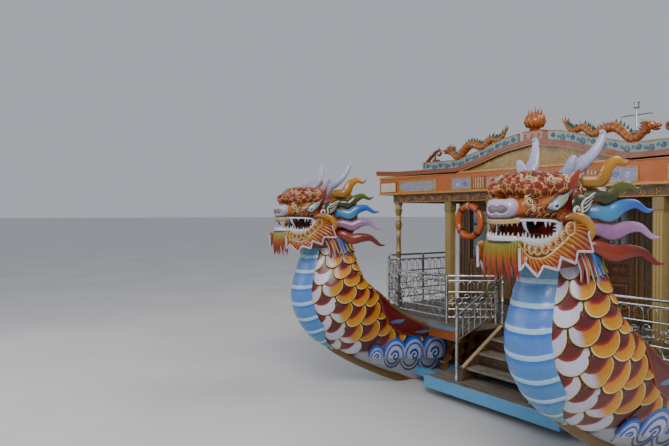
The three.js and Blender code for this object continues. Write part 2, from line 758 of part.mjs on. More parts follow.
function crest(way) {
  const x = ROOF.front - 90;
  const middle = x + CREST.thick / 2;
  const ys = [CREST.inner, 500, 750, 1000, 1230, 1450, 1800, CREST.outer];
  const low = ys.map((y) => [way * y, roofHeight(y) + GAP]);
  const high = ys.map((y) => [way * y, roofHeight(y) + GAP + CREST.band]);
  const band = plate([...low, ...high.reverse()], x, CREST.thick);
  const spine = Array.from({ length: CREST_DRAGON.steps + 1 }, (_, i) => {
    const t = i / CREST_DRAGON.steps;
    const y = THREE.MathUtils.lerp(CREST_DRAGON.start, CREST_DRAGON.end, t);
    const wave = Math.sin(t * CREST_DRAGON.waves * 2 * Math.PI);
    return {
      x: middle,
      y: way * y,
      z: roofHeight(y) + CREST.band + CREST_DRAGON.height * (0.75 + 0.75 * wave),
      radius: CREST_DRAGON.radius * (0.35 + 0.65 * Math.min(1, 2 * t)),
    };
  });
  const curl = CREST_CURL.map(({ y, lift, radius }) => ({ x: middle, y: way * y, z: roofHeight(y) + lift, radius }));
  const neckEnd = spine[spine.length - 1];
  const dragonHead = new THREE.SphereGeometry(100, 8, 6)
    .scale(0.7, 1.1, 1)
    .translate(neckEnd.x, neckEnd.y + way * 50, neckEnd.z + 50);
  return join([band, sideways(spine), sideways(curl), dragonHead]);
}

// A round body along a path that runs across the boat.
function sideways(rows) {
  const sides = 6;
  const sections = rows.map((row, i) => {
    const before = rows[Math.max(i - 1, 0)];
    const after = rows[Math.min(i + 1, rows.length - 1)];
    const along = new THREE.Vector3(0, after.y - before.y, after.z - before.z).normalize();
    const across = new THREE.Vector3(1, 0, 0);
    const other = along.clone().cross(across);
    return Array.from({ length: sides }, (_, k) => {
      const angle = (2 * Math.PI * k) / sides;
      return new THREE.Vector3(row.x, row.y, row.z)
        .addScaledVector(across, row.radius * Math.cos(angle))
        .addScaledVector(other, row.radius * Math.sin(angle));
    });
  });
  return loft(sections);
}

const ORB_HALF = 175;

function orb() {
  const x = ROOF.front - 60;
  const foot = ROOF_LINE[0].z + GAP;
  const middle = foot + 235;
  const box = block([x - 90, x + 45], [-ORB_HALF, ORB_HALF], [foot, foot + 110]);
  const ball = new THREE.SphereGeometry(145, 12, 8).translate(x - 20, 0, middle);
  const flames = [-60, -30, 0, 30, 60].map((degrees) => {
    const angle = THREE.MathUtils.degToRad(degrees);
    const point = (reach, radius) => ({
      x: x - 20,
      y: reach * Math.sin(angle),
      z: middle + reach * Math.cos(angle),
      radius,
    });
    return sideways([point(90, 45), point(170, 26), point(degrees === 0 ? 230 : 215, 6)]);
  });
  const saddle = orbSaddle(x - 90, x + 45, foot);
  return join([box, saddle, ball, ...flames]);
}

// A filler that carries the orb's box on both slopes of the roof.
function orbSaddle(from, to, foot) {
  const half = ORB_HALF;
  const outline = [
    [-half, roofHeight(half) + GAP],
    [0, foot],
    [half, roofHeight(half) + GAP],
    [half, foot + 10],
    [-half, foot + 10],
  ];
  return plate(outline, from, to - from);
}

function mast() {
  const foot = ROOF_LINE[0].z;
  const saddle = plate(
    [
      [-120, roofHeight(120) + GAP],
      [0, foot + GAP],
      [120, roofHeight(120) + GAP],
      [120, foot + 30],
      [-120, foot + 30],
    ],
    MAST.x - 90,
    180,
  );
  return join([
    saddle,
    bar([MAST.x, 0, foot + 10], [MAST.x, 0, MAST.top], MAST.radius),
    bar([MAST.x, -260, MAST.top - 160], [MAST.x, 260, MAST.top - 160], 18),
    bar([MAST.x, -170, MAST.top - 420], [MAST.x, 170, MAST.top - 420], 18),
    bar([MAST.x, 0, MAST.top - 40], [MAST.x, 0, MAST.top + 60], 55, 12),
  ]);
}

// Engines, shafts, propellers, rudders and helm

function engine(y) {
  const middle = (WELL.start + WELL.end) / 2;
  const x = [middle - ENGINE.length / 2, middle + ENGINE.length / 2];
  return solid(block(x, [y - ENGINE.half, y + ENGINE.half], [WELL.floor + GAP, WELL.floor + ENGINE.height]));
}

function hatch(y) {
  const low = DECK_TOP + CLEAR;
  return join([
    block([HATCH.start, HATCH.end], [y - HATCH.half, y + HATCH.half], [low, low + HATCH.thick]),
    block([HATCH.start + 60, HATCH.start + 100], [y - 80, y + 80], [low + HATCH.thick - 5, low + HATCH.thick + 35]),
  ]);
}

function shaft(y, body) {
  const bearingX = PROPELLER.x + 110;
  const rod = bar([SHAFT.start, y, SHAFT.z], [PROPELLER.x + 40 + CLEAR, y, SHAFT.z], SHAFT.radius, 10);
  const tube = bar([bearingX - 60, y, SHAFT.z], [bearingX + 60, y, SHAFT.z], 42, 10);
  const strut = block([bearingX - 45, bearingX + 45], [y - 12, y + 12], [SHAFT.z, 40]);
  const whole = join([rod, tube, strut]);
  const cutter = body.add(body.translate([0, 0, -GAP])).add(body.translate([-GAP, 0, 0]));
  return largest(whole.subtract(cutter));
}

function propeller() {
  const pieces = [bar([-60, 0, 0], [40, 0, 0], PROPELLER.hub, 12)];
  for (let i = 0; i < PROPELLER.blades; i += 1) {
    const outline = new THREE.Shape();
    outline.moveTo(20, 20);
    outline.quadraticCurveTo(130, 40, 95, 140);
    outline.quadraticCurveTo(40, PROPELLER.radius + 10, -55, 150);
    outline.quadraticCurveTo(-90, 80, -20, 20);
    const blade = new THREE.ExtrudeGeometry(outline, {
      depth: PROPELLER.thick / 2,
      bevelEnabled: false,
      curveSegments: 5,
    });
    blade.translate(0, 0, -PROPELLER.thick / 4);
    blade.rotateY(THREE.MathUtils.degToRad(65));
    blade.rotateX((2 * Math.PI * i) / PROPELLER.blades);
    pieces.push(blade);
  }
  return join(pieces);
}

function rudder() {
  return join([
    block([-RUDDER.aft, RUDDER.front], [-RUDDER.thick / 2, RUDDER.thick / 2], [RUDDER.low, RUDDER.high]),
    bar([0, 0, RUDDER.low + 60], [0, 0, 640], RUDDER.stock, 12),
  ]);
}

function helmConsole() {
  const aft = HELM.x - 160;
  return join([
    block([aft, HELM.x - GAP], [HELM.y - HELM.half, HELM.y + HELM.half], [DECK_TOP + GAP, HELM.top]),
    bar([aft - 60, HELM.y, HELM.wheelZ], [aft + 10, HELM.y, HELM.wheelZ], 30, 12),
  ]);
}

function helmWheel() {
  const rim = new THREE.TorusGeometry(HELM.wheelRadius, 20, 6, 18).rotateY(Math.PI / 2);
  const spokes = [];
  for (let i = 0; i < 6; i += 1) {
    const angle = (Math.PI * i) / 3;
    const reach = HELM.wheelRadius + 90;
    spokes.push(bar([0, 0, 0], [0, reach * Math.cos(angle), reach * Math.sin(angle)], 14, 6));
  }
  return join([rim, bar([-30, 0, 0], [25, 0, 0], 50, 12), ...spokes]);
}

function lifebuoy() {
  return solid(new THREE.TorusGeometry(280, 65, 6, 18).rotateX(Math.PI / 2));
}

// The boat, as a scene of named meshes

const boat = new THREE.Group();

function add(name, body, colour, x = 0, y = 0, z = 0) {
  const material = new THREE.MeshStandardMaterial({ color: COLOURS[colour], roughness: 0.6, metalness: 0.1 });
  const mesh = new THREE.Mesh(surface(body), material);
  mesh.name = name;
  mesh.position.set(x, y, z);
  boat.add(mesh);
}

for (const { name, way } of SIDES) {
  const y = way * HULL_Y;
  const body = hull(y, way);
  add(`hull_${name}`, body, 'hull');
  add(`neck_${name}`, neck(y), 'scales');
  add(`tail_${name}`, tail(y), 'scales');
  add(`head_${name}`, head(), 'head', HEAD.x, y, HEAD.z);
  add(`jaw_${name}`, jaw(), 'jaw', HEAD.x, y, HEAD.z);
  add(`mane_${name}`, mane(), 'mane', HEAD.x, y, HEAD.z);
  add(`stair_rail_${name}`, stairRail(way), 'steel');
  add(`porch_rail_${name}`, porchRail(way), 'steel');
  add(`side_wall_${name}`, sideWall(way), 'wall');
  add(`front_door_${name}`, frontDoor(way), 'door');
  add(`crest_${name}`, crest(way), 'crest');
  add(`engine_${name}`, engine(y), 'engine');
  add(`engine_hatch_${name}`, hatch(y), 'deck');
  add(`shaft_${name}`, shaft(y, body), 'brass');
  add(`propeller_${name}`, propeller(), 'brass', PROPELLER.x, y, SHAFT.z);
  add(`rudder_${name}`, rudder(), 'engine', RUDDER.x, y, 0);
  add(`bitt_${name}`, bitt(), 'gold', BITT.x, way * BITT.y, DECK_TOP + GAP);
  add(`lifebuoy_${name}`, lifebuoy(), 'lifebuoy', -500, way * (WALL_HALF + 66), 1450);
}
add('deck', deck(), 'deck');
add('boarding_platform', platform(), 'lightBlue');
add('stair', stair(), 'deck');
add('aft_rail', aftRail(), 'steel');
add('porch_frame', porchFrame(), 'gold');
add('front_wall', frontWall(), 'wall');
add('aft_wall', aftWall(), 'wall');
add('aft_door', aftDoor(), 'door');
add('roof', roof(), 'roof');
add('eaves', eaves(), 'fascia');
add('front_gable', gable(ROOF.front - 110), 'fascia');
add('aft_gable', gable(ROOF.aft + 60), 'fascia');
add('orb', orb(), 'crest');
add('light_mast', mast(), 'steel');
add('helm_console', helmConsole(), 'wall');
add('helm_wheel', helmWheel(), 'gold', HELM.x - 255, HELM.y, HELM.wheelZ);

export default boat;
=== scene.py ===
"""The looks of a double-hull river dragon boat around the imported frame. Metres, +X to the bow, +Z up."""
import itertools
import math
import random

import bpy
from mathutils import Matrix, Vector
from mathutils.bvhtree import BVHTree


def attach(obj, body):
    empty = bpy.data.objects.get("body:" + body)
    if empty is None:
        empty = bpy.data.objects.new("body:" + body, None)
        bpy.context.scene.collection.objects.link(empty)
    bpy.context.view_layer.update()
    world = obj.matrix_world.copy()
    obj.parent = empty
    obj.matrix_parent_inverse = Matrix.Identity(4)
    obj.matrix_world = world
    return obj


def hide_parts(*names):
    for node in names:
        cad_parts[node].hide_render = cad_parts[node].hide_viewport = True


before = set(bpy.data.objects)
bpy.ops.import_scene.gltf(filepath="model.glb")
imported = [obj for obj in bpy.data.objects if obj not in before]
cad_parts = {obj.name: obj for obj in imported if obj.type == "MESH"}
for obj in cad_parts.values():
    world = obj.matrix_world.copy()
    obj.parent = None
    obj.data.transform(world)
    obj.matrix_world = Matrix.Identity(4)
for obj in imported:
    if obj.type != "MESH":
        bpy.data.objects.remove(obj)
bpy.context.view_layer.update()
random.seed(11)
TURN = 2 * math.pi
SIDES = (("port", 1), ("starboard", -1))
CORNERS = tuple(itertools.product((-1, 1), repeat=3))
HULL_Y = 1.98  # each hull's centre line
DECK = 1.0104  # where what stands on the deck begins
EYE = (11.795, 5.633, 2.653)  # the camera's place
EYE_AHEAD, EYE_DIP = (-0.558, -0.8298), 0.8  # the way it looks, and how many degrees down
LENS, SENSOR = 33.23, 36
FLOOR_REACH = 500
# The first is the near black of soiling in runs and of painted shade in hollows; the second, bare wood where
# paint has chipped.
GRIME_AND_SHADE, BARE_WOOD = (0.05, 0.04, 0.03), (0.55, 0.5, 0.42)


def clamp(value):
    return min(max(value, 0), 1)


# Camera and light

def add_thing(name, data):
    thing = bpy.data.objects.new(name, data)
    bpy.context.scene.collection.objects.link(thing)
    return thing


def add_camera():
    camera = add_thing("camera", bpy.data.cameras.new("camera"))
    camera.data.lens = LENS
    camera.data.sensor_width = SENSOR
    camera.location = EYE
    ahead = Vector((*EYE_AHEAD, -math.tan(math.radians(EYE_DIP))))
    camera.rotation_euler = ahead.to_track_quat("-Z", "Y").to_euler()
    bpy.context.scene.camera = camera


def add_light(name, place, aim, size, power, colour):
    lamp = bpy.data.lights.new(name, "AREA")
    lamp.shape = "DISK"
    lamp.size = size
    lamp.energy = power
    lamp.color = colour
    thing = add_thing(name, lamp)
    thing.location = place
    thing.rotation_euler = (Vector(aim) - Vector(place)).to_track_quat("-Z", "Y").to_euler()


def add_lights():
    """The sky, and a key, a fill and a back light."""
    world = bpy.data.worlds.new("studio")
    bpy.context.scene.world = world
    world.use_nodes = True
    sky = world.node_tree.nodes["Background"]
    sky.inputs["Color"].default_value = (0.86, 0.9, 1, 1)
    sky.inputs["Strength"].default_value = 0.5
    add_light("key", (15, 9, 11), (5, 0, 1.5), 7, 1500, (1, 0.93, 0.84))
    add_light("fill", (15, -6, 6), (6, 0, 1.5), 8, 330, (0.92, 0.96, 1))
    add_light("back", (-4, 6, 13), (2, 0, 2), 8, 1100, (1, 0.86, 0.66))


# Materials

def rgb(code):
    """A colour from its six-digit code, as linear values."""
    parts = [int(code[i:i + 2], 16) / 255 for i in (0, 2, 4)]
    return tuple(p / 12.92 if p <= 0.04045 else ((p + 0.055) / 1.055) ** 2.4 for p in parts)


class Nodes:
    """Short calls that add and link shader nodes in one material."""

    def __init__(self, name):
        self.material = bpy.data.materials.new(name)
        self.material.use_nodes = True
        self.tree = self.material.node_tree
        self.shader = self.tree.nodes["Principled BSDF"]

    def put(self, socket, value):
        if isinstance(value, bpy.types.NodeSocket):
            self.tree.links.new(value, socket)
        elif isinstance(value, (tuple, list)):
            size = len(socket.default_value)
            socket.default_value = (tuple(value) + (1, 1, 1, 1))[:size]
        else:
            socket.default_value = value

    def node(self, kind, inputs=None, **settings):
        made = self.tree.nodes.new(kind)
        for key, value in settings.items():
            setattr(made, key, value)
        for key, value in (inputs or {}).items():
            self.put(made.inputs[key], value)
        return made

    def math(self, action, *values):
        return self.node("ShaderNodeMath", dict(enumerate(values)), operation=action).outputs[0]

    def times(self, a, b):
        return self.math("MULTIPLY", a, b)

    def reach(self, a, b):
        """How far (a, b) lies from the origin."""
        return self.math("SQRT", self.math("ADD", self.math("POWER", a, 2.0), self.math("POWER", b, 2.0)))

    def mix(self, factor, a, b, blend="MIX"):
        made = self.node("ShaderNodeMix", data_type="RGBA", blend_type=blend)
        self.put(made.inputs[0], factor)
        self.put(made.inputs[6], a)
        self.put(made.inputs[7], b)
        return made.outputs[2]

    def span(self, value, low, high, to_low=0.0, to_high=1.0):
        """A smooth step from to_low to to_high as value goes from low to high."""
        made = self.node("ShaderNodeMapRange", {0: value, 1: low, 2: high, 3: to_low, 4: to_high})
        made.interpolation_type = "SMOOTHSTEP"
        return made.outputs[0]

    def steps(self, colour, value, rows):
        """Goes from colour to each row's colour in turn, as value goes from the row's low to its high."""
        for low, high, code in rows:
            colour = self.mix(self.span(value, low, high), colour, rgb(code))
        return colour

    def place(self, stretch=(1, 1, 1)):
        spot = self.node("ShaderNodeTexCoord").outputs["Object"]
        return self.node("ShaderNodeMapping", {0: spot, 3: stretch}).outputs[0]

    def noise(self, scale, detail=3.0, rough=0.55, stretch=(1, 1, 1)):
        inputs = {"Vector": self.place(stretch), "Scale": scale, "Detail": detail, "Roughness": rough}
        return self.node("ShaderNodeTexNoise", inputs).outputs[0]

    def uv(self):
        spot = self.node("ShaderNodeTexCoord").outputs["UV"]
        parts = self.node("ShaderNodeSeparateXYZ", {0: spot}).outputs
        return parts[0], parts[1]

    def tint(self):
        return self.node("ShaderNodeAttribute", attribute_name="Paint").outputs[0]

    def tint_parts(self):
        return self.node("ShaderNodeSeparateColor", {0: self.tint()}).outputs

    def worn_and_shaded(self, colour, dirt_and_shade, chips):
        """Old paint: uneven colour, dark runs of soiling, hollows darkened by soiling and by painted shade,
        and chips at the edges.
        """
        edge = self.node("ShaderNodeNewGeometry").outputs["Pointiness"]
        broad = self.noise(1.7, 4)
        fine = self.noise(38, 5)
        shade = self.math("MULTIPLY_ADD", broad, 0.5, 0.74)
        colour = self.mix(0.75, colour, self.grey(shade), "MULTIPLY")
        colour = self.mix(0.2, colour, self.grey(self.span(fine, 0.3, 0.7, 0.6, 1.25)), "MULTIPLY")
        runs = self.span(self.noise(5, 4, stretch=(1.6, 1.6, 0.16)), 0.5, 0.78)
        # Hollows, where pointiness is low, are darkened as painted shade as well as soiling.
        hollow_soil_and_shade = self.span(edge, 0.5, 0.42)
        grime_and_shade = self.math("MAXIMUM", self.times(hollow_soil_and_shade, 0.8), self.times(runs, 0.45))
        grime_and_shade = self.times(grime_and_shade, self.span(broad, 0.3, 0.62))
        colour = self.mix(self.times(grime_and_shade, dirt_and_shade), colour, GRIME_AND_SHADE)
        chip = self.times(self.span(edge, 0.52, 0.6), self.span(fine, 0.5, 0.62))
        spots = self.span(self.noise(23, 6, 0.7), 0.68, 0.72)
        chip = self.math("MAXIMUM", chip, self.times(spots, 0.6))
        return self.mix(self.times(chip, chips), colour, BARE_WOOD)

    def grey(self, value):
        return self.node("ShaderNodeCombineColor", {0: value, 1: value, 2: value}).outputs[0]

    def finish(self, colour, rough, metal=0.0, coat=0.0, bump=0.1, height=None, depth=0.002):
        """Sets the shader. Noise spreads a pair of roughnesses over the piece."""
        if isinstance(rough, tuple):
            rough = self.span(self.noise(7, 4), 0.3, 0.7, *rough)
        if height is None:
            height = self.noise(60, 4)
        bumped = self.node("ShaderNodeBump", {"Strength": bump, "Distance": depth, "Height": height})
        values = {
            "Base Color": colour, "Roughness": rough, "Metallic": metal, "Coat Weight": coat,
            "Coat Roughness": 0.15, "Normal": bumped.outputs[0],
        }
        for key, value in values.items():
            self.put(self.shader.inputs[key], value)
        return self.material


def painted(name, code, dirt_and_shade, chips, rough, coat, metal=0.0):
    """Worn paint with painted shade in its hollows, in one colour, or in the colours on the piece's points
    where code is None.
    """
    n = Nodes(name)
    colour = rgb(code) if code else n.tint()
    return n.finish(n.worn_and_shaded(colour, dirt_and_shade, chips), rough, metal=metal, coat=coat, bump=0.25)


def scale_finish():
    """Dragon scales: crimson, a thin orange edge, ochre below, a pale gold rim and a black line.
    The point's red makes a scale pale towards the belly, its green greenish and its blue lighter."""
    n = Nodes("scale_lacquer")
    across, along = n.uv()
    side = n.math("ABSOLUTE", across)
    reach = n.reach(side, n.times(n.math("MAXIMUM", n.math("SUBTRACT", along, 0.5), 0.0), 2.0))
    drop = n.times(n.math("MAXIMUM", n.math("SUBTRACT", along, 0.2), 0.0), 1.6)
    wobble = n.math("MULTIPLY_ADD", n.noise(9, 3), 0.1, -0.05)
    spread = n.math("ADD", n.reach(n.times(side, 0.7), drop), wobble)
    pale, green, light = n.tint_parts()[:3]
    colour = n.steps(rgb("560504"), spread, (
        (0.34, 0.54, "84140a"), (0.52, 0.57, "a8500a"), (0.56, 0.66, "b5740c"), (0.7, 1.0, "c08a18"),
    ))
    white = n.steps(colour, spread, ((0.53, 0.58, "b9bcd6"),))
    reach_in = n.math("SUBTRACT", n.math("MULTIPLY_ADD", pale, 3.2, -1.7), across)
    colour = n.mix(n.span(reach_in, 0.0, 0.5), colour, white)
    colour = n.mix(green, colour, n.steps(colour, spread, ((0.45, 0.75, "5f6a12"),)))
    rim = n.times(n.span(reach, 0.83, 0.86), n.span(reach, 0.93, 0.91))
    colour = n.mix(n.times(rim, n.span(along, 0.3, 0.48)), colour, rgb("dfc070"))
    colour = n.steps(colour, reach, ((0.9, 0.93, "0c0605"),))
    colour = n.mix(0.8, colour, n.grey(n.math("MULTIPLY_ADD", light, 0.3, 0.8)), "MULTIPLY")
    return n.finish(n.worn_and_shaded(colour, 0.3, 0.12), (0.25, 0.5), coat=0.25, bump=0.15)


def scallop_finish():
    """The heads' small scales: dark red, an orange ring and a cream rim."""
    n = Nodes("scallop_lacquer")
    across, along = n.uv()
    reach = n.reach(across, n.times(n.math("SUBTRACT", along, 0.5), 2.0))
    core = n.mix(n.tint_parts()[2], rgb("4f0a05"), rgb("7e1c08"))
    colour = n.steps(core, reach, ((0.45, 0.72, "a0480a"), (0.72, 0.78, "c29a50"), (0.86, 0.92, "1a0c06")))
    return n.finish(n.worn_and_shaded(colour, 0.35, 0.1), (0.25, 0.5), coat=0.25, bump=0.15)


def belly_finish():
    """The belly's blue bands with pale blue between them, teal at both ends."""
    n = Nodes("belly_paint")
    along = n.uv()[1]
    cycle = n.math("FRACT", along)
    colour = n.steps(rgb("1c6fb4"), along, (
        (3.2, 6.2, "2a67bd"), (3.0, 1.2, "2f7f86"), (1.6, 0.4, "4d7c5c"), (6.6, 8.2, "4a7fb6"),
        (7.8, 8.9, "5c9a98"), (8.8, 9.8, "4f6a34"),
    ))
    colour = n.mix(n.span(cycle, 0.74, 0.5, 0, 0.3), colour, n.mix(0.35, colour, rgb("b4cfe6")))
    white = n.math("MAXIMUM", n.span(cycle, 0.79, 0.8), n.span(cycle, 0.01, 0.0))
    pale = n.steps(rgb("9fbede"), along, ((2.4, 1.0, "86aaa0"), (7.6, 8.8, "8fb4a8")))
    return n.finish(n.worn_and_shaded(n.mix(white, colour, pale), 0.3, 0.08), (0.25, 0.5), coat=0.2, bump=0.12)


def wood_finish(name, light, dark, along="X", pitch=0.12, wear=0.5):
    """Weathered boards that run along X or Y, with grain, a tone for each board, dark spots and bleached
    patches.
    """
    n = Nodes(name)
    spot = n.node("ShaderNodeSeparateXYZ", {0: n.node("ShaderNodeTexCoord").outputs["Object"]}).outputs
    cross = spot[1] if along == "X" else spot[0]
    stretch = (0.6, 9, 9) if along == "X" else (9, 0.6, 9)
    board = n.math("FLOOR", n.math("DIVIDE", cross, pitch))
    pick = n.node("ShaderNodeTexWhiteNoise", {"W": board}, noise_dimensions="1D").outputs[0]
    grain = n.noise(6, 6, 0.65, stretch)
    colour = n.mix(n.span(grain, 0.3, 0.7), rgb(dark), rgb(light))
    colour = n.mix(0.6, colour, n.grey(n.math("MULTIPLY_ADD", pick, 0.5, 0.7)), "MULTIPLY")
    colour = n.mix(n.times(n.span(n.noise(1.3, 4), 0.45, 0.7), wear), colour, rgb("9a948b"))
    colour = n.mix(n.times(n.span(n.noise(11, 5), 0.62, 0.72), 0.5), colour, rgb("231c15"))
    return n.finish(n.worn_and_shaded(colour, 0.4, 0.05), (0.6, 0.85), bump=0.5, height=grain, depth=0.004)


def steel_finish():
    n = Nodes("stainless_tube")
    streak = n.noise(30, 5, stretch=(1, 1, 0.2))
    colour = n.mix(n.span(streak, 0.3, 0.75), rgb("a8abad"), rgb("d5d6d4"))
    colour = n.mix(n.times(n.span(n.noise(6, 5), 0.55, 0.75), 0.5), colour, rgb("6b5a45"))
    return n.finish(colour, (0.18, 0.42), metal=0.95, bump=0.05)


def roof_finish():
    n = Nodes("roof_sheet_paint")
    old = n.span(n.noise(2.2, 6, 0.65), 0.4, 0.7)
    colour = n.mix(old, rgb("3d7d52"), rgb("5d8a3c"))
    colour = n.mix(n.times(n.span(n.noise(0.9, 4), 0.5, 0.72), 0.6), colour, rgb("7d7a3a"))
    runs = n.span(n.noise(5, 5, stretch=(2.5, 0.4, 0.4)), 0.55, 0.75)
    colour = n.mix(n.times(runs, 0.55), colour, rgb("4a3524"))
    return n.finish(n.worn_and_shaded(colour, 0.4, 0.2), (0.4, 0.7), bump=0.2)


def glass_finish():
    n = Nodes("window_glass")
    haze = n.span(n.noise(3, 4), 0.3, 0.7, 0.06, 0.2)
    colour = n.mix(n.span(n.noise(1.4, 3), 0.3, 0.7), rgb("b9c4c4"), rgb("d8ddd6"))
    made = n.finish(colour, haze, bump=0.02)
    n.put(n.shader.inputs["Transmission Weight"], 0.85)
    n.put(n.shader.inputs["IOR"], 1.2)
    return made


def floor_finish():
    n = Nodes("pale_floor")
    tone = n.span(n.noise(0.4, 3), 0.3, 0.7, 0.62, 0.68)
    return n.finish(n.grey(tone), 0.8, bump=0.02)


PAINTS = {
    # Columns: the material's name, its colour, soiling and painted shade in hollows, chips, roughness, coat
    # and metal.
    "paint": ("old_paint", None, 0.35, 0.25, (0.3, 0.55), 0.15),
    "gloss": ("carved_paint", None, 0.45, 0.2, (0.22, 0.45), 0.3),
    "wall": ("wall_varnish", None, 0.5, 0.1, (0.3, 0.5), 0.2),
    "hull": ("hull_paint", "c06a1c", 0.5, 0.4, (0.35, 0.6), 0.1),
    "iron": ("engine_grey_paint", "5c676d", 0.6, 0.5, (0.4, 0.6), 0.1),
    "brass": ("propeller_brass", "a8823c", 0.5, 0.0, (0.25, 0.45), 0.1, 0.9),
    "shaft": ("shaft_steel", "8b8f92", 0.5, 0.0, (0.25, 0.45), 0.1, 0.9),
    "helm": ("helm_wood_varnish", "7b4520", 0.3, 0.1, (0.25, 0.4), 0.4),
}
M = {}


def make_materials():
    for key, row in PAINTS.items():
        M[key] = painted(*row)
    M["scale"] = scale_finish()
    M["scallop"] = scallop_finish()
    M["belly"] = belly_finish()
    M["deck"] = wood_finish("deck_planks", "8d8478", "4d463e")
    M["platform"] = wood_finish("platform_planks", "a19a8c", "5c554a", along="Y", pitch=0.14, wear=0.7)
    M["steel"] = steel_finish()
    M["roof"] = roof_finish()
    M["glass"] = glass_finish()
    M["floor"] = floor_finish()


# Shapes

def spline(values, place):
    """A smooth curve through numbers, or through lists of numbers, at place."""
    i = max(0, min(int(math.floor(place)), len(values) - 2))
    t = place - i
    at = [values[max(0, min(k, len(values) - 1))] for k in (i - 1, i, i + 1, i + 2)]
    if not isinstance(values[0], (tuple, list, Vector)):
        a, b, c, d = at
        return b + 0.5 * t * (c - a + t * (2 * a - 5 * b + 4 * c - d + t * (3 * (b - c) + d - a)))
    return [spline([p[k] for p in at], 1 + t) for k in range(len(at[0]))]


def curve(points, steps):
    """More points on a smooth curve through the given ones."""
    count = (len(points) - 1) * steps
    return [spline(points, i / steps) for i in range(count + 1)]


def lerp(a, b, t):
    """What lies the share t of the way from a to b, a number or each of its parts."""
    if isinstance(a, (tuple, list, Vector)):
        return tuple(x + (y - x) * t for x, y in zip(a, b))
    return a + (b - a) * t


def fade(start, end, shares):
    """The colours that lie these shares of the way between two."""
    return [lerp(rgb(start), rgb(end), share) for share in shares]


def taper(path, size, power, tip):
    """A radius for each point of a path, from size at its start down to the tip's."""
    last = len(path) - 1
    return [size * (1 - (i / last) ** power) + tip for i in range(last + 1)]


def circle(centre, radius, steps):
    """Points (a, b) round a circle; the last one is the first again."""
    angles = [TURN * k / steps for k in range(steps + 1)]
    return [(centre[0] + radius * math.cos(t), centre[1] + radius * math.sin(t)) for t in angles]


def arch(middle, half, top, rise, foot):
    """Points (a, b) up one leg from the foot, over a half circle of six steps and down the other leg."""
    angles = [math.pi * k / 6 for k in range(7)]
    over = [(middle - half * math.cos(t), top + rise * math.sin(t)) for t in angles]
    return [(middle - half, foot), *over, (middle + half, foot)]


def squared(angle, power):
    """The cosine and sine of a rounded square."""
    c, s = math.cos(angle), math.sin(angle)
    return math.copysign(abs(c) ** power, c), math.copysign(abs(s) ** power, s)


def facing_way(path, way):
    """The path, or for way below 0 its reverse, so that a ribbon along it faces out."""
    return path if way > 0 else path[::-1]


def heading(path, i):
    """The direction of a path of vectors at its point i."""
    return (path[min(i + 1, len(path) - 1)] - path[max(i - 1, 0)]).normalized()


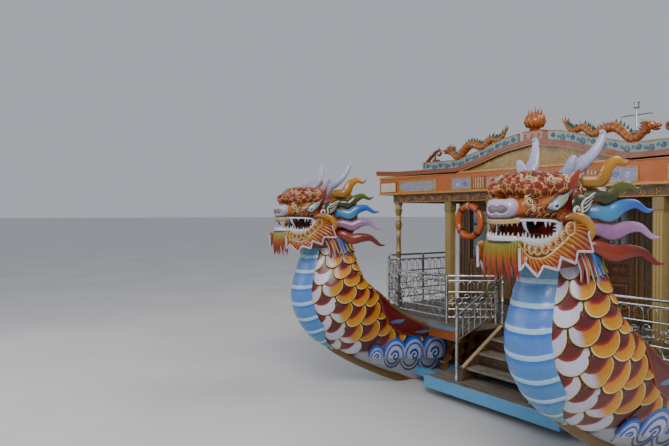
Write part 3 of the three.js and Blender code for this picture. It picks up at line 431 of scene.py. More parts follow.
class Shape:
    """Gathers the faces of one piece, with UVs and a paint colour at each point."""

    def __init__(self):
        self.points, self.faces, self.uvs, self.paints = [], [], [], []
        self.colour = (1, 1, 1)
        self.move = Matrix()

    def paint(self, code):
        self.colour = rgb(code) if isinstance(code, str) else code
        return self

    def add(self, points, faces, uvs=None, paints=None):
        base = len(self.points)
        self.points += [self.move @ Vector(p) for p in points]
        self.uvs += uvs or [(0, 0)] * len(points)
        self.paints += paints or [self.colour] * len(points)
        self.faces += [tuple(base + i for i in face) for face in faces]

    def grid(self, rows, ring=False, ends=False, uvs=None, paints=None):
        wide = len(rows[0])
        points = [p for row in rows for p in row]
        faces = []
        for r in range(len(rows) - 1):
            for c in range(wide if ring else wide - 1):
                a, b = r * wide + c, r * wide + (c + 1) % wide
                faces.append((a, b, b + wide, a + wide))
        if ends:
            for start, order in ((0, -1), ((len(rows) - 1) * wide, 1)):
                middle = sum((Vector(p) for p in points[start:start + wide]), Vector()) / wide
                points.append(middle)
                if uvs:
                    uvs = uvs + [uvs[start]]
                if paints:
                    paints = paints + [paints[start]]
                for c in range(wide):
                    a, b = start + c, start + (c + 1) % wide
                    faces.append((a, b, len(points) - 1)[::order])
        self.add(points, faces, uvs, paints)

    def tube(self, path, radii, sides=8, flat=1.0, up=(0, 0, 1), paints=None, groove=0.0, lobes=3):
        """A round or flattened tube along a path, tapered by its radii; flat squeezes it across up."""
        path = [Vector(p) for p in path]
        if not isinstance(radii, (tuple, list)):
            radii = [radii] * len(path)
        rows, colours = [], []
        for i, spot in enumerate(path):
            ahead = heading(path, i)
            across = ahead.cross(Vector(up))
            if across.length < 1e-4:
                across = ahead.cross(Vector((0.3, 1, 0)))
            across.normalize()
            other = across.cross(ahead).normalized()
            row = []
            for k in range(sides):
                angle = TURN * k / sides
                size = radii[i] * (1 + groove * math.cos(lobes * angle))
                row.append(spot + across * (size * flat * math.cos(angle)) + other * (size * math.sin(angle)))
            rows.append(row)
            if paints:
                colours += [paints[i]] * sides
        self.grid(rows, ring=True, ends=True, paints=colours or None)

    def ball(self, centre, radii, steps=10, around=14):
        centre, rows = Vector(centre), []
        for i in range(steps + 1):
            polar = math.pi * (0.002 + 0.996 * i / steps)
            ring = []
            for k in range(around):
                angle = TURN * k / around
                ring.append(centre + Vector((
                    radii[0] * math.sin(polar) * math.cos(angle),
                    radii[1] * math.sin(polar) * math.sin(angle),
                    radii[2] * math.cos(polar),
                )))
            rows.append(ring)
        self.grid(rows[::-1], ring=True, ends=True)

    def box(self, low, high, bevel=0.004):
        """A box with chamfered edges: each corner has one point on each of its three faces."""
        low, high = Vector(low), Vector(high)
        bevel = min(bevel, min(high - low) * 0.3)
        mid, half = (low + high) / 2, (high - low) / 2
        points, index, faces = [], {}, []
        for corner in CORNERS:
            for axis in range(3):
                inset = [half[k] - (0 if k == axis else bevel) for k in range(3)]
                index[(*corner, axis)] = len(points)
                points.append(mid + Vector([corner[k] * inset[k] for k in range(3)]))

        def point_of(face, axis, *signs):
            """A corner's point on a face; the corner's signs begin at the axis."""
            corner = [0, 0, 0]
            for k, sign in enumerate(signs):
                corner[(axis + k) % 3] = sign
            return index[(*corner, face)]

        for axis in range(3):
            beside = (axis + 1) % 3
            for side in (-1, 1):
                face = [point_of(axis, axis, side, a, b) for a, b in ((-1, -1), (1, -1), (1, 1), (-1, 1))]
                faces.append(tuple(face[::side]))
                for other in (-1, 1):
                    ends = ((axis, -1), (beside, -1), (beside, 1), (axis, 1))
                    quad = tuple(point_of(f, axis, side, other, along) for f, along in ends)
                    faces.append(quad[::-1] if side * other > 0 else quad)
        for corner in CORNERS:
            tip = tuple(index[(*corner, axis)] for axis in range(3))
            faces.append(tip if math.prod(corner) > 0 else tip[::-1])
        self.add(points, faces)

    def lathe(self, profile, foot, along=(0, 0, 1), sides=14, paints=None):
        """A turned shape: profile rows are (radius, distance along the axis)."""
        axis = Vector(along).normalized()
        turn = axis.to_track_quat("Z", "Y")
        rows, colours = [], []
        for i, (radius, height) in enumerate(profile):
            row = []
            for k in range(sides):
                angle = TURN * k / sides
                spot = Vector((radius * math.cos(angle), radius * math.sin(angle), height))
                row.append(Vector(foot) + turn @ spot)
            rows.append(row)
            if paints:
                colours += [paints[i]] * sides
        self.grid(rows, ring=True, ends=True, paints=colours or None)

    def mesh(self, name, smooth=40):
        made = bpy.data.meshes.new(name)
        made.from_pydata([tuple(p) for p in self.points], [], self.faces)
        layer = made.uv_layers.new(name="UVMap")
        paint = made.color_attributes.new("Paint", "FLOAT_COLOR", "POINT")
        for loop in made.loops:
            layer.data[loop.index].uv = self.uvs[loop.vertex_index]
        for i, colour in enumerate(self.paints):
            paint.data[i].color = (*colour, 1)
        made.update()
        made.set_sharp_from_angle(angle=math.radians(smooth))
        return made

    def make(
        self, name, material, body="boat", slot="hull_paint", replaces=(), smooth=40, shift=None, flip=False,
    ):
        """The piece itself, moved by shift or mirrored to the other side by flip."""
        mesh = self.mesh(name, smooth)
        if flip:
            mesh.transform(Matrix.Diagonal((1, -1, 1, 1)))
            mesh.flip_normals()
        if shift:
            mesh.transform(Matrix.Translation(shift))
        mesh.materials.append(M[material])
        piece = add_thing(name, mesh)
        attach(piece, body)
        if replaces:
            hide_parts(*replaces)

    def pair(self, name, material, slot, replaces=(), shift=(0, HULL_Y, 0), smooth=40):
        """The same piece on both hulls."""
        for side, way in SIDES:
            self.make(
                f"{name}_{side}", material, slot=slot, smooth=smooth,
                replaces=[f"{node}_{side}" for node in replaces],
                shift=(shift[0], shift[1] * way, shift[2]),
            )

    def heads(self, name, material, slot, replaces=(), smooth=40):
        """The same piece on both heads."""
        self.points = [head_spot(p) for p in self.points]
        self.pair(name, material, slot, replaces, HEAD_AT, smooth)

    def both(self, name, material, slot, replaces=(), smooth=40):
        """The piece as it is on the port side, and its mirror image on the starboard side."""
        for side, way in SIDES:
            self.make(
                f"{name}_{side}", material, slot=slot, smooth=smooth, flip=way < 0,
                replaces=[f"{node}_{side}" for node in replaces],
            )


# The hull's skin: one smooth surface from the tail's tip to the neck's top

# Columns: top x and z, low x and z, then half widths at five levels.
SKIN_ROWS = (
    (-7.7, 2.42, -7.88, 2.33, 0.05, 0.06, 0.06, 0.045, 0.02),
    (-7.48, 2.18, -7.74, 2.08, 0.095, 0.11, 0.11, 0.08, 0.03),
    (-7.33, 1.85, -7.65, 1.7, 0.13, 0.15, 0.15, 0.11, 0.04),
    (-7.27, 1.45, -7.62, 1.12, 0.19, 0.215, 0.21, 0.15, 0.05),
    (-7.15, 1.12, -7.38, 0.52, 0.33, 0.35, 0.31, 0.21, 0.06),
    (-6.9, 0.95, -6.9, 0.15, 0.5, 0.48, 0.42, 0.26, 0.06),
    (-6.1, 0.95, -6.1, -0.12, 0.58, 0.57, 0.52, 0.38, 0.09),
    (-5.3, 0.95, -5.3, -0.4, 0.62, 0.615, 0.59, 0.47, 0.12),
    (-3.5, 0.95, -3.5, -0.44, 0.645, 0.645, 0.625, 0.54, 0.17),
    (0, 0.95, 0, -0.45, 0.65, 0.65, 0.64, 0.56, 0.18),
    (3, 0.95, 3, -0.44, 0.65, 0.645, 0.62, 0.5, 0.14),
    (4.3, 0.95, 4.3, -0.37, 0.64, 0.625, 0.56, 0.38, 0.09),
    (5, 0.95, 5, -0.12, 0.63, 0.6, 0.48, 0.26, 0.07),
    (5.4, 0.95, 5.4, 0.08, 0.62, 0.59, 0.45, 0.22, 0.06),
    (5.72, 1.08, 5.78, 0.235, 0.59, 0.57, 0.47, 0.26, 0.07),
    (5.98, 1.25, 6.26, 0.47, 0.53, 0.56, 0.49, 0.31, 0.1),
    (6.15, 1.42, 6.68, 0.715, 0.47, 0.55, 0.5, 0.36, 0.135),
    (6.29, 1.56, 6.99, 0.92, 0.41, 0.54, 0.5, 0.38, 0.16),
    (6.4, 1.69, 7.2, 1.2, 0.36, 0.52, 0.49, 0.36, 0.175),
    (6.46, 1.83, 7.28, 1.5, 0.31, 0.49, 0.465, 0.33, 0.17),
    (6.5, 1.97, 7.22, 1.8, 0.27, 0.44, 0.42, 0.29, 0.16),
    (6.53, 2.13, 7.12, 2.09, 0.23, 0.38, 0.365, 0.26, 0.145),
    (6.54, 2.25, 7.07, 2.25, 0.21, 0.33, 0.32, 0.24, 0.135),
)
STERN, BOW, TOP = 5, 13, 22
RING_LEVELS = (-0.03, 0, 0.2, 0.5, 0.8, 1, 1.05, 1, 0.8, 0.5, 0.2, 0)
BELLY_LOW = 15.9  # the ring where the belly meets the stem
TAIL_FINS = (
    # Columns: start, middle and tip, each (x, z), and the radius.
    ((-7.42, 2.05), (-7.33, 2.42), (-7.48, 2.76), 0.095),
    ((-7.64, 2.28), (-7.64, 2.62), (-7.82, 2.9), 0.085),
    ((-7.76, 2.28), (-7.88, 2.48), (-7.985, 2.7), 0.07),
)


def belly_edge(s):
    """Where the belly's bands end round a ring: 0 is the back's ridge and 6 the keel or belly."""
    return lerp(5.72, 4.6, clamp((s - BELLY_LOW) / 1.5))


def ring_spot(s, around):
    """A place on the skin: s counts the table's rows, around goes from 0 at the ridge to 12."""
    row = spline(SKIN_ROWS, s)
    halves = (0, *row[4:9], 0, *(-h for h in reversed(row[4:9])))
    around %= 12
    at = [(int(around) + k) % 12 for k in (-1, 0, 1, 2)]
    level = spline([RING_LEVELS[k] for k in at], 1 + around % 1)
    half = spline([halves[k] for k in at], 1 + around % 1)
    return Vector((lerp(row[0], row[2], level), half, lerp(row[1], row[3], level)))


def skin(s, around, lift=0.0):
    """The same place, lifted off the skin."""
    spot = ring_spot(s, around)
    if not lift:
        return spot
    ds = ring_spot(min(s + 0.02, TOP), around) - ring_spot(max(s - 0.02, 0), around)
    da = ring_spot(s, around + 0.03) - ring_spot(s, around - 0.03)
    normal = da.cross(ds)
    if normal.length < 1e-9:
        return spot
    return spot + normal.normalized() * -lift


def skin_rows(low, high, steps):
    """Evenly spaced values of s."""
    return [low + (high - low) * i / steps for i in range(steps + 1)]


class Girth:
    """Finds places at a share of the way round: 0 the belly's edge, 1 the ridge, 2 the other edge."""

    STEPS = 24

    def __init__(self):
        self.tables = {}

    def place(self, s, share):
        key = round(s, 2)
        if key not in self.tables:
            edge = belly_edge(key)
            spots = [ring_spot(key, edge * (1 - i / self.STEPS)) for i in range(self.STEPS + 1)]
            run = [0.0]
            for a, b in zip(spots, spots[1:]):
                run.append(run[-1] + (b - a).length)
            self.tables[key] = run
        run = self.tables[key]
        target = run[-1] * min(max(share if share <= 1 else 2 - share, -0.1), 1)
        i = next((k for k in range(1, len(run)) if run[k] >= target), len(run) - 1)
        part = (i - 1 + (target - run[i - 1]) / (run[i] - run[i - 1])) / self.STEPS
        around = belly_edge(key) * (1 - part)
        return around if share <= 1 else 12 - around


girth = Girth()


def run_table(around, low, high, steps=160):
    """Distances along the skin from s = high down to s = low."""
    table, last = [(0.0, high)], ring_spot(high, around)
    for i in range(1, steps + 1):
        s = high + (low - high) * i / steps
        spot = ring_spot(s, around)
        table.append((table[-1][0] + (spot - last).length, s))
        last = spot
    return table


def at_run(table, distance):
    """The s that lies a distance along a run_table."""
    for (d0, s0), (d1, s1) in zip(table, table[1:]):
        if d1 >= distance:
            return lerp(s0, s1, (distance - d0) / max(d1 - d0, 1e-9))
    return table[-1][1]


# Scales

SCALE_STEPS = (0, 0.3, 0.5, 0.66, 0.8, 0.9, 0.965, 1)


def scale_plate(shape, place, tint, across=6, steps=SCALE_STEPS, lift=0.026, crown=0.008, way=1):
    """One scale: place(a, b, lift) gives a point at a across (-1 to 1) and b along (0 root to 1 tip)."""
    points, uvs, faces = [], [], []
    along = len(steps) - 1
    for b in steps:
        wide = 1 if b < 0.5 else math.sqrt(max(1 - (2 * b - 1) ** 2, 0.0))
        wide = max(wide, 0.03)
        for c in range(across + 1):
            a = (2 * c / across - 1) * wide
            reach = math.hypot(a, max(2 * b - 1, 0))
            rise = 0.004 + lift * b ** 1.4 + crown * (1 - a * a) - (0.006 if reach > 0.94 else 0)
            points.append(place(a, b, rise))
            uvs.append((a, b))
    wide = across + 1
    for r in range(along):
        for c in range(across):
            i = r * wide + c
            faces.append((i, i + wide, i + wide + 1, i + 1))
    rim = [r * wide for r in range(along + 1)]
    rim += [along * wide + c for c in range(1, across + 1)]
    rim += [r * wide + across for r in range(along - 1, -1, -1)]
    rim += list(range(across - 1, 0, -1))
    base = len(points)
    for i in rim:
        a, b = uvs[i]
        points.append(place(a, b, -0.012))
        uvs.append((a, b))
    count = len(rim)
    for k in range(count):
        faces.append((rim[k], rim[(k + 1) % count], base + (k + 1) % count, base + k)[::-1])
    points.append(place(0, 0.45, -0.014))
    uvs.append((0, 1))
    for k in range(count):
        faces.append((base + k, base + (k + 1) % count, len(points) - 1)[::-1])
    shape.add(points, faces, [(a * way, b) for a, b in uvs], [tint] * len(points))


def seam_z(x):
    """The edge of the white band on the bow's sides."""
    return 0.45 + (x - 5.11) * 0.125


def neck_scales():
    """The big scales, in rows from the bow up the neck, between the belly's edges."""
    shape = Shape()
    columns, pitch, reach = 4, 0.178, 0.285
    table = run_table(3, BOW - 0.8, TOP)
    for row in range(20):
        start = row * pitch - 0.1
        shift = 0.5 * (row % 2)
        for column in range(-1 if row % 2 else 0, 2 * columns + 1):
            middle = (column + 0.5 + shift) / columns
            if not -0.02 < middle < 2.02:
                continue
            s_mid = at_run(table, max(start + reach * 0.6, 0))
            around = girth.place(s_mid, middle)
            if s_mid < 17.3 and min(around, 12 - around) < below_table(s_mid, 0.4 * strake_width(s_mid)):
                continue
            spot = ring_spot(s_mid, around)
            if spot.x < 6.45 and spot.z < seam_z(spot.x) + 0.06 or in_cloud(spot.x, spot.z, 0.72):
                continue
            half = 0.515 / columns
            clear = below_table(s_mid, strake_width(s_mid)) if s_mid < 17.2 else 0

            def place(a, b, lift, middle=middle, half=half, start=start, clear=clear):
                s = at_run(table, max(start + reach * b, 0))
                around = girth.place(s, middle + a * half)
                spot = ring_spot(s, around)
                under_strake = min(around, 12 - around) < clear
                if under_strake or spot.x < 6.4 and spot.z < seam_z(spot.x):
                    lift = min(lift, 0.006)
                return skin(s, around, lift)

            near = min(middle, 2 - middle)
            pale = 1.0 if near < 0.13 else (0.5 if near < 0.3 and s_mid > 15.8 else 0.0)
            green = max(0.0, (near - 0.62) * 2.0)
            way = 1 if middle < 1 else -1
            tint = (pale, min(green, 0.8), random.random())
            if near < 0.13:
                scale_plate(shape, place, tint, lift=0.014, crown=0.004, way=way)
            else:
                scale_plate(shape, place, tint, way=way)
    return shape


ROUND = [12 * k / 48 for k in range(48)]


def bow_tree():
    """The bow's skin, for rays to meet."""
    form = Shape()
    form.grid([[skin(s, a) for a in ROUND] for s in skin_rows(10, TOP, 110)], ring=True)
    return tree_of(form)


def build_skin():
    """The necks, the tails with their fins and the hulls' planking."""
    neck = Shape()
    rows = [[skin(s, a) for a in ROUND] for s in skin_rows(BOW + 0.0005, TOP, 54)]
    codes = [rgb("9aa1ab" if p.z < seam_z(p.x) and p.x < 6.4 else "4c0806") for row in rows for p in row]
    neck.grid(rows, ring=True, ends=True, paints=codes)
    neck.pair("neck_body", "paint", "scale_paint", replaces=["neck"])
    tail = Shape().paint("6a130d")
    rows = [[skin(s, a) for a in ROUND] for s in skin_rows(0, STERN - 0.0005, 30)]
    tail.grid(rows, ring=True, ends=True)
    for *spots, size in TAIL_FINS:
        path = curve([(x, 0, z) for x, z in spots], 8)
        radii = [
            size * (0.85 + 0.3 * math.sin(3 * i / 16)) * (1 - (i / 16) ** 2.2) + 0.004 for i in range(17)
        ]
        paints = fade("b8401a", "e8b23a", [i / 16 for i in range(17)])
        tail.tube(path, radii, 12, 0.4, (1, 0, 0.3), paints, groove=0.06)
    tail.pair("tail_body", "gloss", "scale_paint", replaces=["tail"])
    plates = Shape().paint("c8701d")
    side = [k * 0.25 + 1 for k in range(41)]
    rows = skin_rows(STERN, BOW, 60)
    outer = [[skin(s, a, 0.006) for a in side] for s in rows]
    plates.grid(outer)
    plates.grid([[skin(s, a, -0.004) for a in side][::-1] for s in rows])
    for edge in (0, -1):
        band = [[row[edge], skin(s, side[edge], -0.004)] for row, s in zip(outer, rows)]
        plates.grid([pair[::-1] for pair in band] if edge else band)
    plates.pair("hull_planking", "hull", "hull_paint")


# General forms on a surface: place(a, b, lift) gives the point at (a, b), raised by lift

SUNK = -0.008  # how deep the feet of ribbons and discs lie in their surface


def raised(place, height):
    """The same surface, a height further out."""
    return lambda a, b, lift: place(a, b, lift + height)


def sheet(shape, place, across, along, lift, under=-0.012, uv=None, paint=None):
    """A closed sheet that lies on a surface: lift(a, b) is its height above it."""
    rows, uvs, paints = [], [], []
    for b in along:
        rows.append([place(a, b, lift(a, b)) for a in across] + [
            place(a, b, under) for a in reversed(across)
        ])
        spots = list(across) + list(reversed(across))
        uvs += [uv(a, b) if uv else (a, b) for a in spots]
        if paint:
            paints += [paint(a, b) for a in spots]
    wide = len(across)
    base = len(shape.points)
    shape.grid(rows, ring=True, uvs=uvs, paints=paints or None)
    last = base + (len(rows) - 1) * 2 * wide
    for c in range(wide - 1):
        low = (base + c, base + c + 1, base + 2 * wide - 2 - c, base + 2 * wide - 1 - c)
        shape.faces.append(low[::-1])
        shape.faces.append(tuple(i - base + last for i in low))


def ribbon(shape, place, path, width, height):
    """A half-round strip along a path of (a, b) points on a surface; width may be a list."""
    rows = []
    for i, (a, b) in enumerate(path):
        before, after = path[max(i - 1, 0)], path[min(i + 1, len(path) - 1)]
        da, db = after[0] - before[0], after[1] - before[1]
        size = math.hypot(da, db) or 1
        na, nb = -db / size, da / size
        half = (width[i] if isinstance(width, (list, tuple)) else width) / 2
        tall = height * min(1, half / 0.008)
        row = []
        for side, rise in ((-1, SUNK), (-0.85, tall * 0.75), (0, tall), (0.85, tall * 0.75), (1, SUNK)):
            row.append(place(a + na * half * side, b + nb * half * side, rise))
        rows.append(row)
    shape.grid([row[::-1] for row in rows], ring=True, ends=True)


def disc(shape, place, centre, radius, height, rings=4, around=20, tint=None):
    """A low dome on a surface. Its UVs run as a scale's do, so that it may have a scale's finish."""
    rows, uvs = [], []
    for r in range(rings + 2):
        part = 1 if r <= 1 else 1 - (r - 1) / (rings + 0.2)
        rise = height * (1 - part * part * 0.6) if r else SUNK
        row = []
        for k in range(around):
            angle = TURN * k / around
            a, b = part * math.cos(angle), part * math.sin(angle)
            row.append(place(centre[0] + radius * a, centre[1] + radius * b, rise))
            uvs.append((a, 0.5 + 0.5 * abs(b)))
        rows.append(row)
    shape.grid(rows, ring=True, ends=True, uvs=uvs, paints=[tint or shape.colour] * len(uvs))


def spiral(centre, radius, turns, start=0.0, way=1, steps=16):
    """Points (a, b) of a spiral that winds in to an eighth of its radius."""
    count = int(turns * steps)
    path = []
    for i in range(count + 1):
        part = i / count
        size = radius * (1 - 0.88 * part)
        angle = start + way * TURN * turns * part
        path.append((centre[0] + size * math.cos(angle), centre[1] + size * math.sin(angle)))
    return path


def curl(shape, place, centre, radius, turns, start, way, wide, height, steps=12):
    """A ribbon along a spiral; it faces out whichever way the spiral winds."""
    path = spiral(centre, radius, turns, start, way, steps)
    ribbon(shape, place, facing_way(path, way), wide, height)


def thin_ends(count, wide, power=0.6):
    """Widths that grow from a point and shrink to a point."""
    parts = [min(max(i / (count - 1), 0.02), 0.98) for i in range(count)]
    return [wide * max(0.12, math.sin(math.pi * part) ** power) for part in parts]


def tree_of(shape):
    return BVHTree.FromPolygons(shape.points, shape.faces)


def on_form(tree, start, way, near, out, lift):
    """Where a ray meets a form, or else the form's place nearest to near, lifted to the side out."""
    hit, normal, _, _ = tree.ray_cast(start, way)
    if hit is None:
        hit, normal, _, _ = tree.find_nearest(near)
    return hit + (normal if normal.dot(out) >= 0 else -normal) * lift


def side_map(tree):
    """Places (x, z) on the port side of a head, by rays across the boat."""
    out = Vector((0, 1, 0))
    return lambda a, b, lift: on_form(tree, Vector((a, 1.5, b)), -out, Vector((a, 0.3, b)), out, lift)


# What lies on the hulls' skin

def below_sheer(s, distance, flip=False):
    """The place round the ring that lies a distance down from the sheer."""
    last, run, around = ring_spot(s, 1), 0.0, 1.0
    while run < distance and around < 5.5:
        around += 0.05
        spot = ring_spot(s, around)
        run += (spot - last).length
        last = spot
    return 12 - around if flip else around


def strake_width(s):
    """How wide the strake is at s."""
    grow = clamp((s - 12.6) / 1.7)
    fade_out = min(max((17.3 - s) / 2.3, 0.05), 1)
    return (0.14 + 0.15 * grow) * fade_out


def belly():
    shape = Shape()
    table = run_table(6, BELLY_LOW, TOP - 0.05, 90)
    total = table[-1][0]
    across = [k / 10 - 1 for k in range(21)]
    along = [total * (1 - i / 96) for i in range(97)]

    def place(a, b, lift):
        s = at_run(table, b)
        return skin(s, 6 - a * (6.06 - belly_edge(s)), lift)

    def bands(b):
        return (total - b) / 0.228 + 0.5

    def lift(a, b):
        cycle = bands(b) % 1
        rib = 0.009 if cycle > 0.79 else 0.006 * math.sin(math.pi * cycle / 0.79)
        return 0.03 + 0.008 * (1 - a * a) + rib * (1 - abs(a) ** 6)

    sheet(shape, place, across, along, lift, uv=lambda a, b: (a, bands(b)))
    shape.pair("belly_bands", "belly", "scale_paint")


STRAKE_MARKS = ((12.3, 0.5, 0.7, 0.1), (13.3, 0.48, 0.8, 0.35), (14.75, 0.52, 0.7, 0.6))


def strake_map(flip):
    """Places on the strake: a across it from 0 to 1, b the ring's s."""
    return lambda a, b, lift: skin(b, below_sheer(b, a * strake_width(b), flip), lift)


def strake():
    """The dark red strake under the sheer with its marks, the gunwale's cap and the stem's edge."""
    shape, marks = Shape(), Shape().paint("4f6f9a")
    places = skin_rows(STERN, 17.3, 110)
    across = [0, 0.12, 0.3, 0.5, 0.7, 0.88, 1]
    for flip in (False, True):
        place, way = strake_map(flip), -1 if flip else 1
        sheet(
            shape, place, across[::way], places, lambda a, b: 0.03 if 0 < a < 1 else 0.022,
            paint=lambda a, b: rgb("8a3a10" if a in (0, 1) else "5c0a08"),
        )
        for s, spot, long, tilt in STRAKE_MARKS:
            path = [(spot + (k / 12 - 0.5) * tilt, s + (k / 12 - 0.5) * long) for k in range(13)]
            ribbon(marks, raised(place, 0.03), path[::way], thin_ends(13, 0.2, 0.9), 0.006)
    shape.pair("sheer_strake", "gloss", "hull_paint")
    marks.pair("strake_clouds", "gloss", "hull_paint")
    cap = Shape().paint("7a5a22")
    for around in (1, 11):
        path = [skin(s, around, 0.012) for s in skin_rows(12.9, 17.2, 44)]
        cap.tube(path, [0.034 * min(1, 0.25 + (len(path) - 1 - i) / 9) for i in range(len(path))], 10, 0.8)
    cap.pair("gunwale_cap", "paint", "hull_paint")
    stem = Shape().paint("6b4f14")
    path = [skin(s, 6, 0.0) for s in skin_rows(10.6, 16.8, 60)]
    count = len(path)
    radii = [0.078 * min(1, 0.25 + (count - 1 - i) / 12, 0.25 + i / 20) for i in range(count)]
    stem.tube(path, radii, 12, 0.9, (0, 1, 0))
    stem.pair("stem_edge", "paint", "hull_paint")


CLOUDS = ((6.28, 0.62, 0.15), (5.94, 0.61, 0.235), (5.575, 0.585, 0.25), (5.16, 0.565, 0.275))
CLOUD_RINGS = (
    # Columns: which shape, drop in steps of 10 mm, share of the radius, rise and colour.
    ("blue", 0, 0.9, 0, "1f63c4"),
    ("pale", 1, 0.79, 0.008, "b4b6e2"),
    ("blue", 2, 0.68, 0.016, "1f5cb8"),
    ("pale", 2, 0.58, 0.022, "c3c6ea"),
)
LOW_CLOUDS = ((5.98, 0.16), (5.64, 0.2), (5.26, 0.23), (4.92, 0.2))


def in_cloud(x, z, share=1.0):
    """Whether a place on the side lies in one of the clouds."""
    return any((x - cx) ** 2 + (z - cz) ** 2 < (r * share) ** 2 and z > seam_z(x) for cx, cz, r in CLOUDS)


def eye_map(tree, sign):
    """Places on a hull's side by rays from beside the bow, so that the marks look round from there."""
    start = Vector((EYE[0], sign * (EYE[1] + HULL_Y), EYE[2]))

    def place(a, b, lift):
        target = Vector((a, sign * 0.5, b))
        return on_form(tree, start, (target - start).normalized(), target, Vector((0, sign, 0)), lift)
    return place


def band_low(x):
    """The white band's lower edge, just above the keel."""
    rows = SKIN_ROWS[10:16]
    xs = [row[2] for row in rows]
    k = next((i for i in range(1, len(xs)) if xs[i] >= x), len(xs) - 1)
    keel = spline([row[3] for row in rows], k - 1 + (x - xs[k - 1]) / (xs[k] - xs[k - 1]))
    return min(max(keel + 0.02, -0.1), seam_z(x) - 0.02)


def clouds(tree):
    """Joined clouds above the seam, each of rings and a hooked spiral; a white band with swirls below it."""
    blue, pale, band, lines = Shape(), Shape(), Shape().paint("a3aab4"), Shape()
    for sign in (1, -1):
        place = eye_map(tree, sign)

        def cloud_disc(shape, x, z, r, rise, code):
            """A disc that ends at the seam."""
            def spot(a, b, lift):
                return place(a, max(b, seam_z(a) + 0.004), lift + rise)
            disc(shape.paint(code), spot, (x, z), r, 0.008, around=32)

        def on_band(a, b, lift):
            return place(b, lerp(band_low(b), seam_z(b), a), lift)

        across = [0, 0.02, 0.25, 0.5, 0.75, 0.98, 1]
        along = [4.74 + i * 0.04 for i in range(42)]
        sheet(band, on_band, across[::sign], along, lambda a, b: 0.014)
        for x, z, r in CLOUDS:
            cloud_disc(blue, x, z, r, 0.02, "0f3f8e")
        for k, (x, z, r) in enumerate(CLOUDS):
            base = 0.028 + 0.004 * k
            for which, drop, share, rise, code in CLOUD_RINGS:
                cloud_disc(
                    blue if which == "blue" else pale, x, z - 0.01 * drop, r * share, base + rise, code,
                )
            hook = spiral((x, z - r * 0.1), r * 0.36, 1.3, 0.3)
            if k == 0:
                hook = [p for p in hook if p[1] > seam_z(p[0]) + r * 0.1]
            ribbon(blue.paint("14489c"), raised(place, base + 0.026), hook[::-sign], r * 0.15, 0.008)
        for x, r in LOW_CLOUDS:
            for part in (1.0, 0.72):
                angles = [math.pi * (1.04 + 0.92 * k / 24) for k in range(25)]
                path = [(x + r * part * math.cos(t), seam_z(x) + r * part * math.sin(t)) for t in angles]
                ribbon(
                    lines.paint("173a78"), raised(place, 0.014), path[::-sign], thin_ends(25, 0.03, 0.4),
                    0.008,
                )
        edge = [(4.74 + i * 0.05, seam_z(4.74 + i * 0.05)) for i in range(34)]
        ribbon(lines.paint("5a3a14"), raised(place, 0.012), edge[::-sign], 0.022, 0.01)
    blue.pair("cloud_discs", "gloss", "hull_paint")
    pale.pair("cloud_curls", "gloss", "hull_paint")
    band.pair("bow_white_band", "paint", "hull_paint")
    lines.pair("band_swirls", "gloss", "hull_paint")


SHEER_RUNS = {}


def below_table(s, distance):
    """As below_sheer, from runs that are kept for each tenth of s."""
    key = round(s, 1)
    if key not in SHEER_RUNS:
        last, table = ring_spot(key, 1), [0.0]
        for k in range(1, 91):
            spot = ring_spot(key, 1 + k * 0.05)
            table.append(table[-1] + (spot - last).length)
            last = spot
        SHEER_RUNS[key] = table
    table = SHEER_RUNS[key]
    k = next((i for i in range(1, len(table)) if table[i] >= distance), len(table) - 1)
    return 1 + 0.05 * (k - 1 + clamp((distance - table[k - 1]) / (table[k] - table[k - 1])))


def hull_scales():
    """The small scales of the hulls' sides and the tails."""
    shape = Shape()
    table = run_table(3, 0.15, 12.2, 400)
    pitch, reach = 0.22, 0.34
    for row in range(int(table[-1][0] / pitch)):
        start = row * pitch
        s_mid = at_run(table, start + 0.2)
        count = 5 if 3 < s_mid <= STERN else 4
        for sign, column in itertools.product((1, -1), range(count + row % 2)):
            middle = (column + (0.0 if row % 2 else 0.5)) / count
            if s_mid > STERN and (middle < 0.05 or middle > 0.97):
                continue

            def place(a, b, lift, middle=middle, start=start, sign=sign, count=count):
                s = at_run(table, start + reach * b)
                part = middle + a * 0.52 / count * sign
                if s > STERN:
                    around = below_table(s, 0.16 + part * 0.72)
                else:
                    around = lerp(below_table(s, 0.0), 5.3, part)
                return skin(s, around if sign > 0 else 12 - around, lift)

            tint = (0, 0.15 * random.random(), random.random())
            scale_plate(shape, place, tint, 4, SCALE_STEPS[1:], lift=0.02)
    shape.pair("hull_scales", "scale", "scale_paint")


# Dragon heads, in a frame on top of the neck

HEAD_AT = (6.886, HULL_Y, 2.2504)


def head_spot(p):
    """Where a point of the heads' tables comes: the head is wider than the tables' one, the snout shorter."""
    past = max(p[0] - 0.3, 0)
    part = min(past / 0.45, 1)
    wide = lerp(1.12, 0.85, part * part * (3 - 2 * part))
    return Vector((p[0] - 0.15 * past, p[1] * wide, p[2]))


def both_cheeks(slot, *rows):
    """Makes the port half of each head's pieces into whole ones; a row is (shape, name)."""
    for shape, name in rows:
        mirrored(shape)
        shape.heads(name, "gloss", slot)


def super_ball(shape, centre, radii, power=2.6):
    """A ball with squarer sides than a round one."""
    steps, around = 12, 18
    rows = []
    for i in range(steps + 1):
        up, wide = squared(math.pi * (0.004 + 0.992 * i / steps), 2 / power)
        row = []
        for k in range(around):
            c, s = squared(TURN * k / around, 2 / power)
            row.append(Vector(centre) + Vector((radii[0] * wide * c, radii[1] * wide * s, radii[2] * up)))
        rows.append(row)
    shape.grid(rows[::-1], ring=True, ends=True)


def upright_loft(shape, rows):
    """Sections across x: x, low z, high z, half width, with rounded corners."""
    points, rings = 16, []
    for x, low, high, half in curve(rows, 3):
        ring = []
        for k in range(points):
            c, s = squared(TURN * (k + 0.5) / points, 0.72)
            ring.append((x, half * c, (low + high) / 2 + (high - low) / 2 * s))
        rings.append(ring)
    shape.grid(rings, ring=True, ends=True)


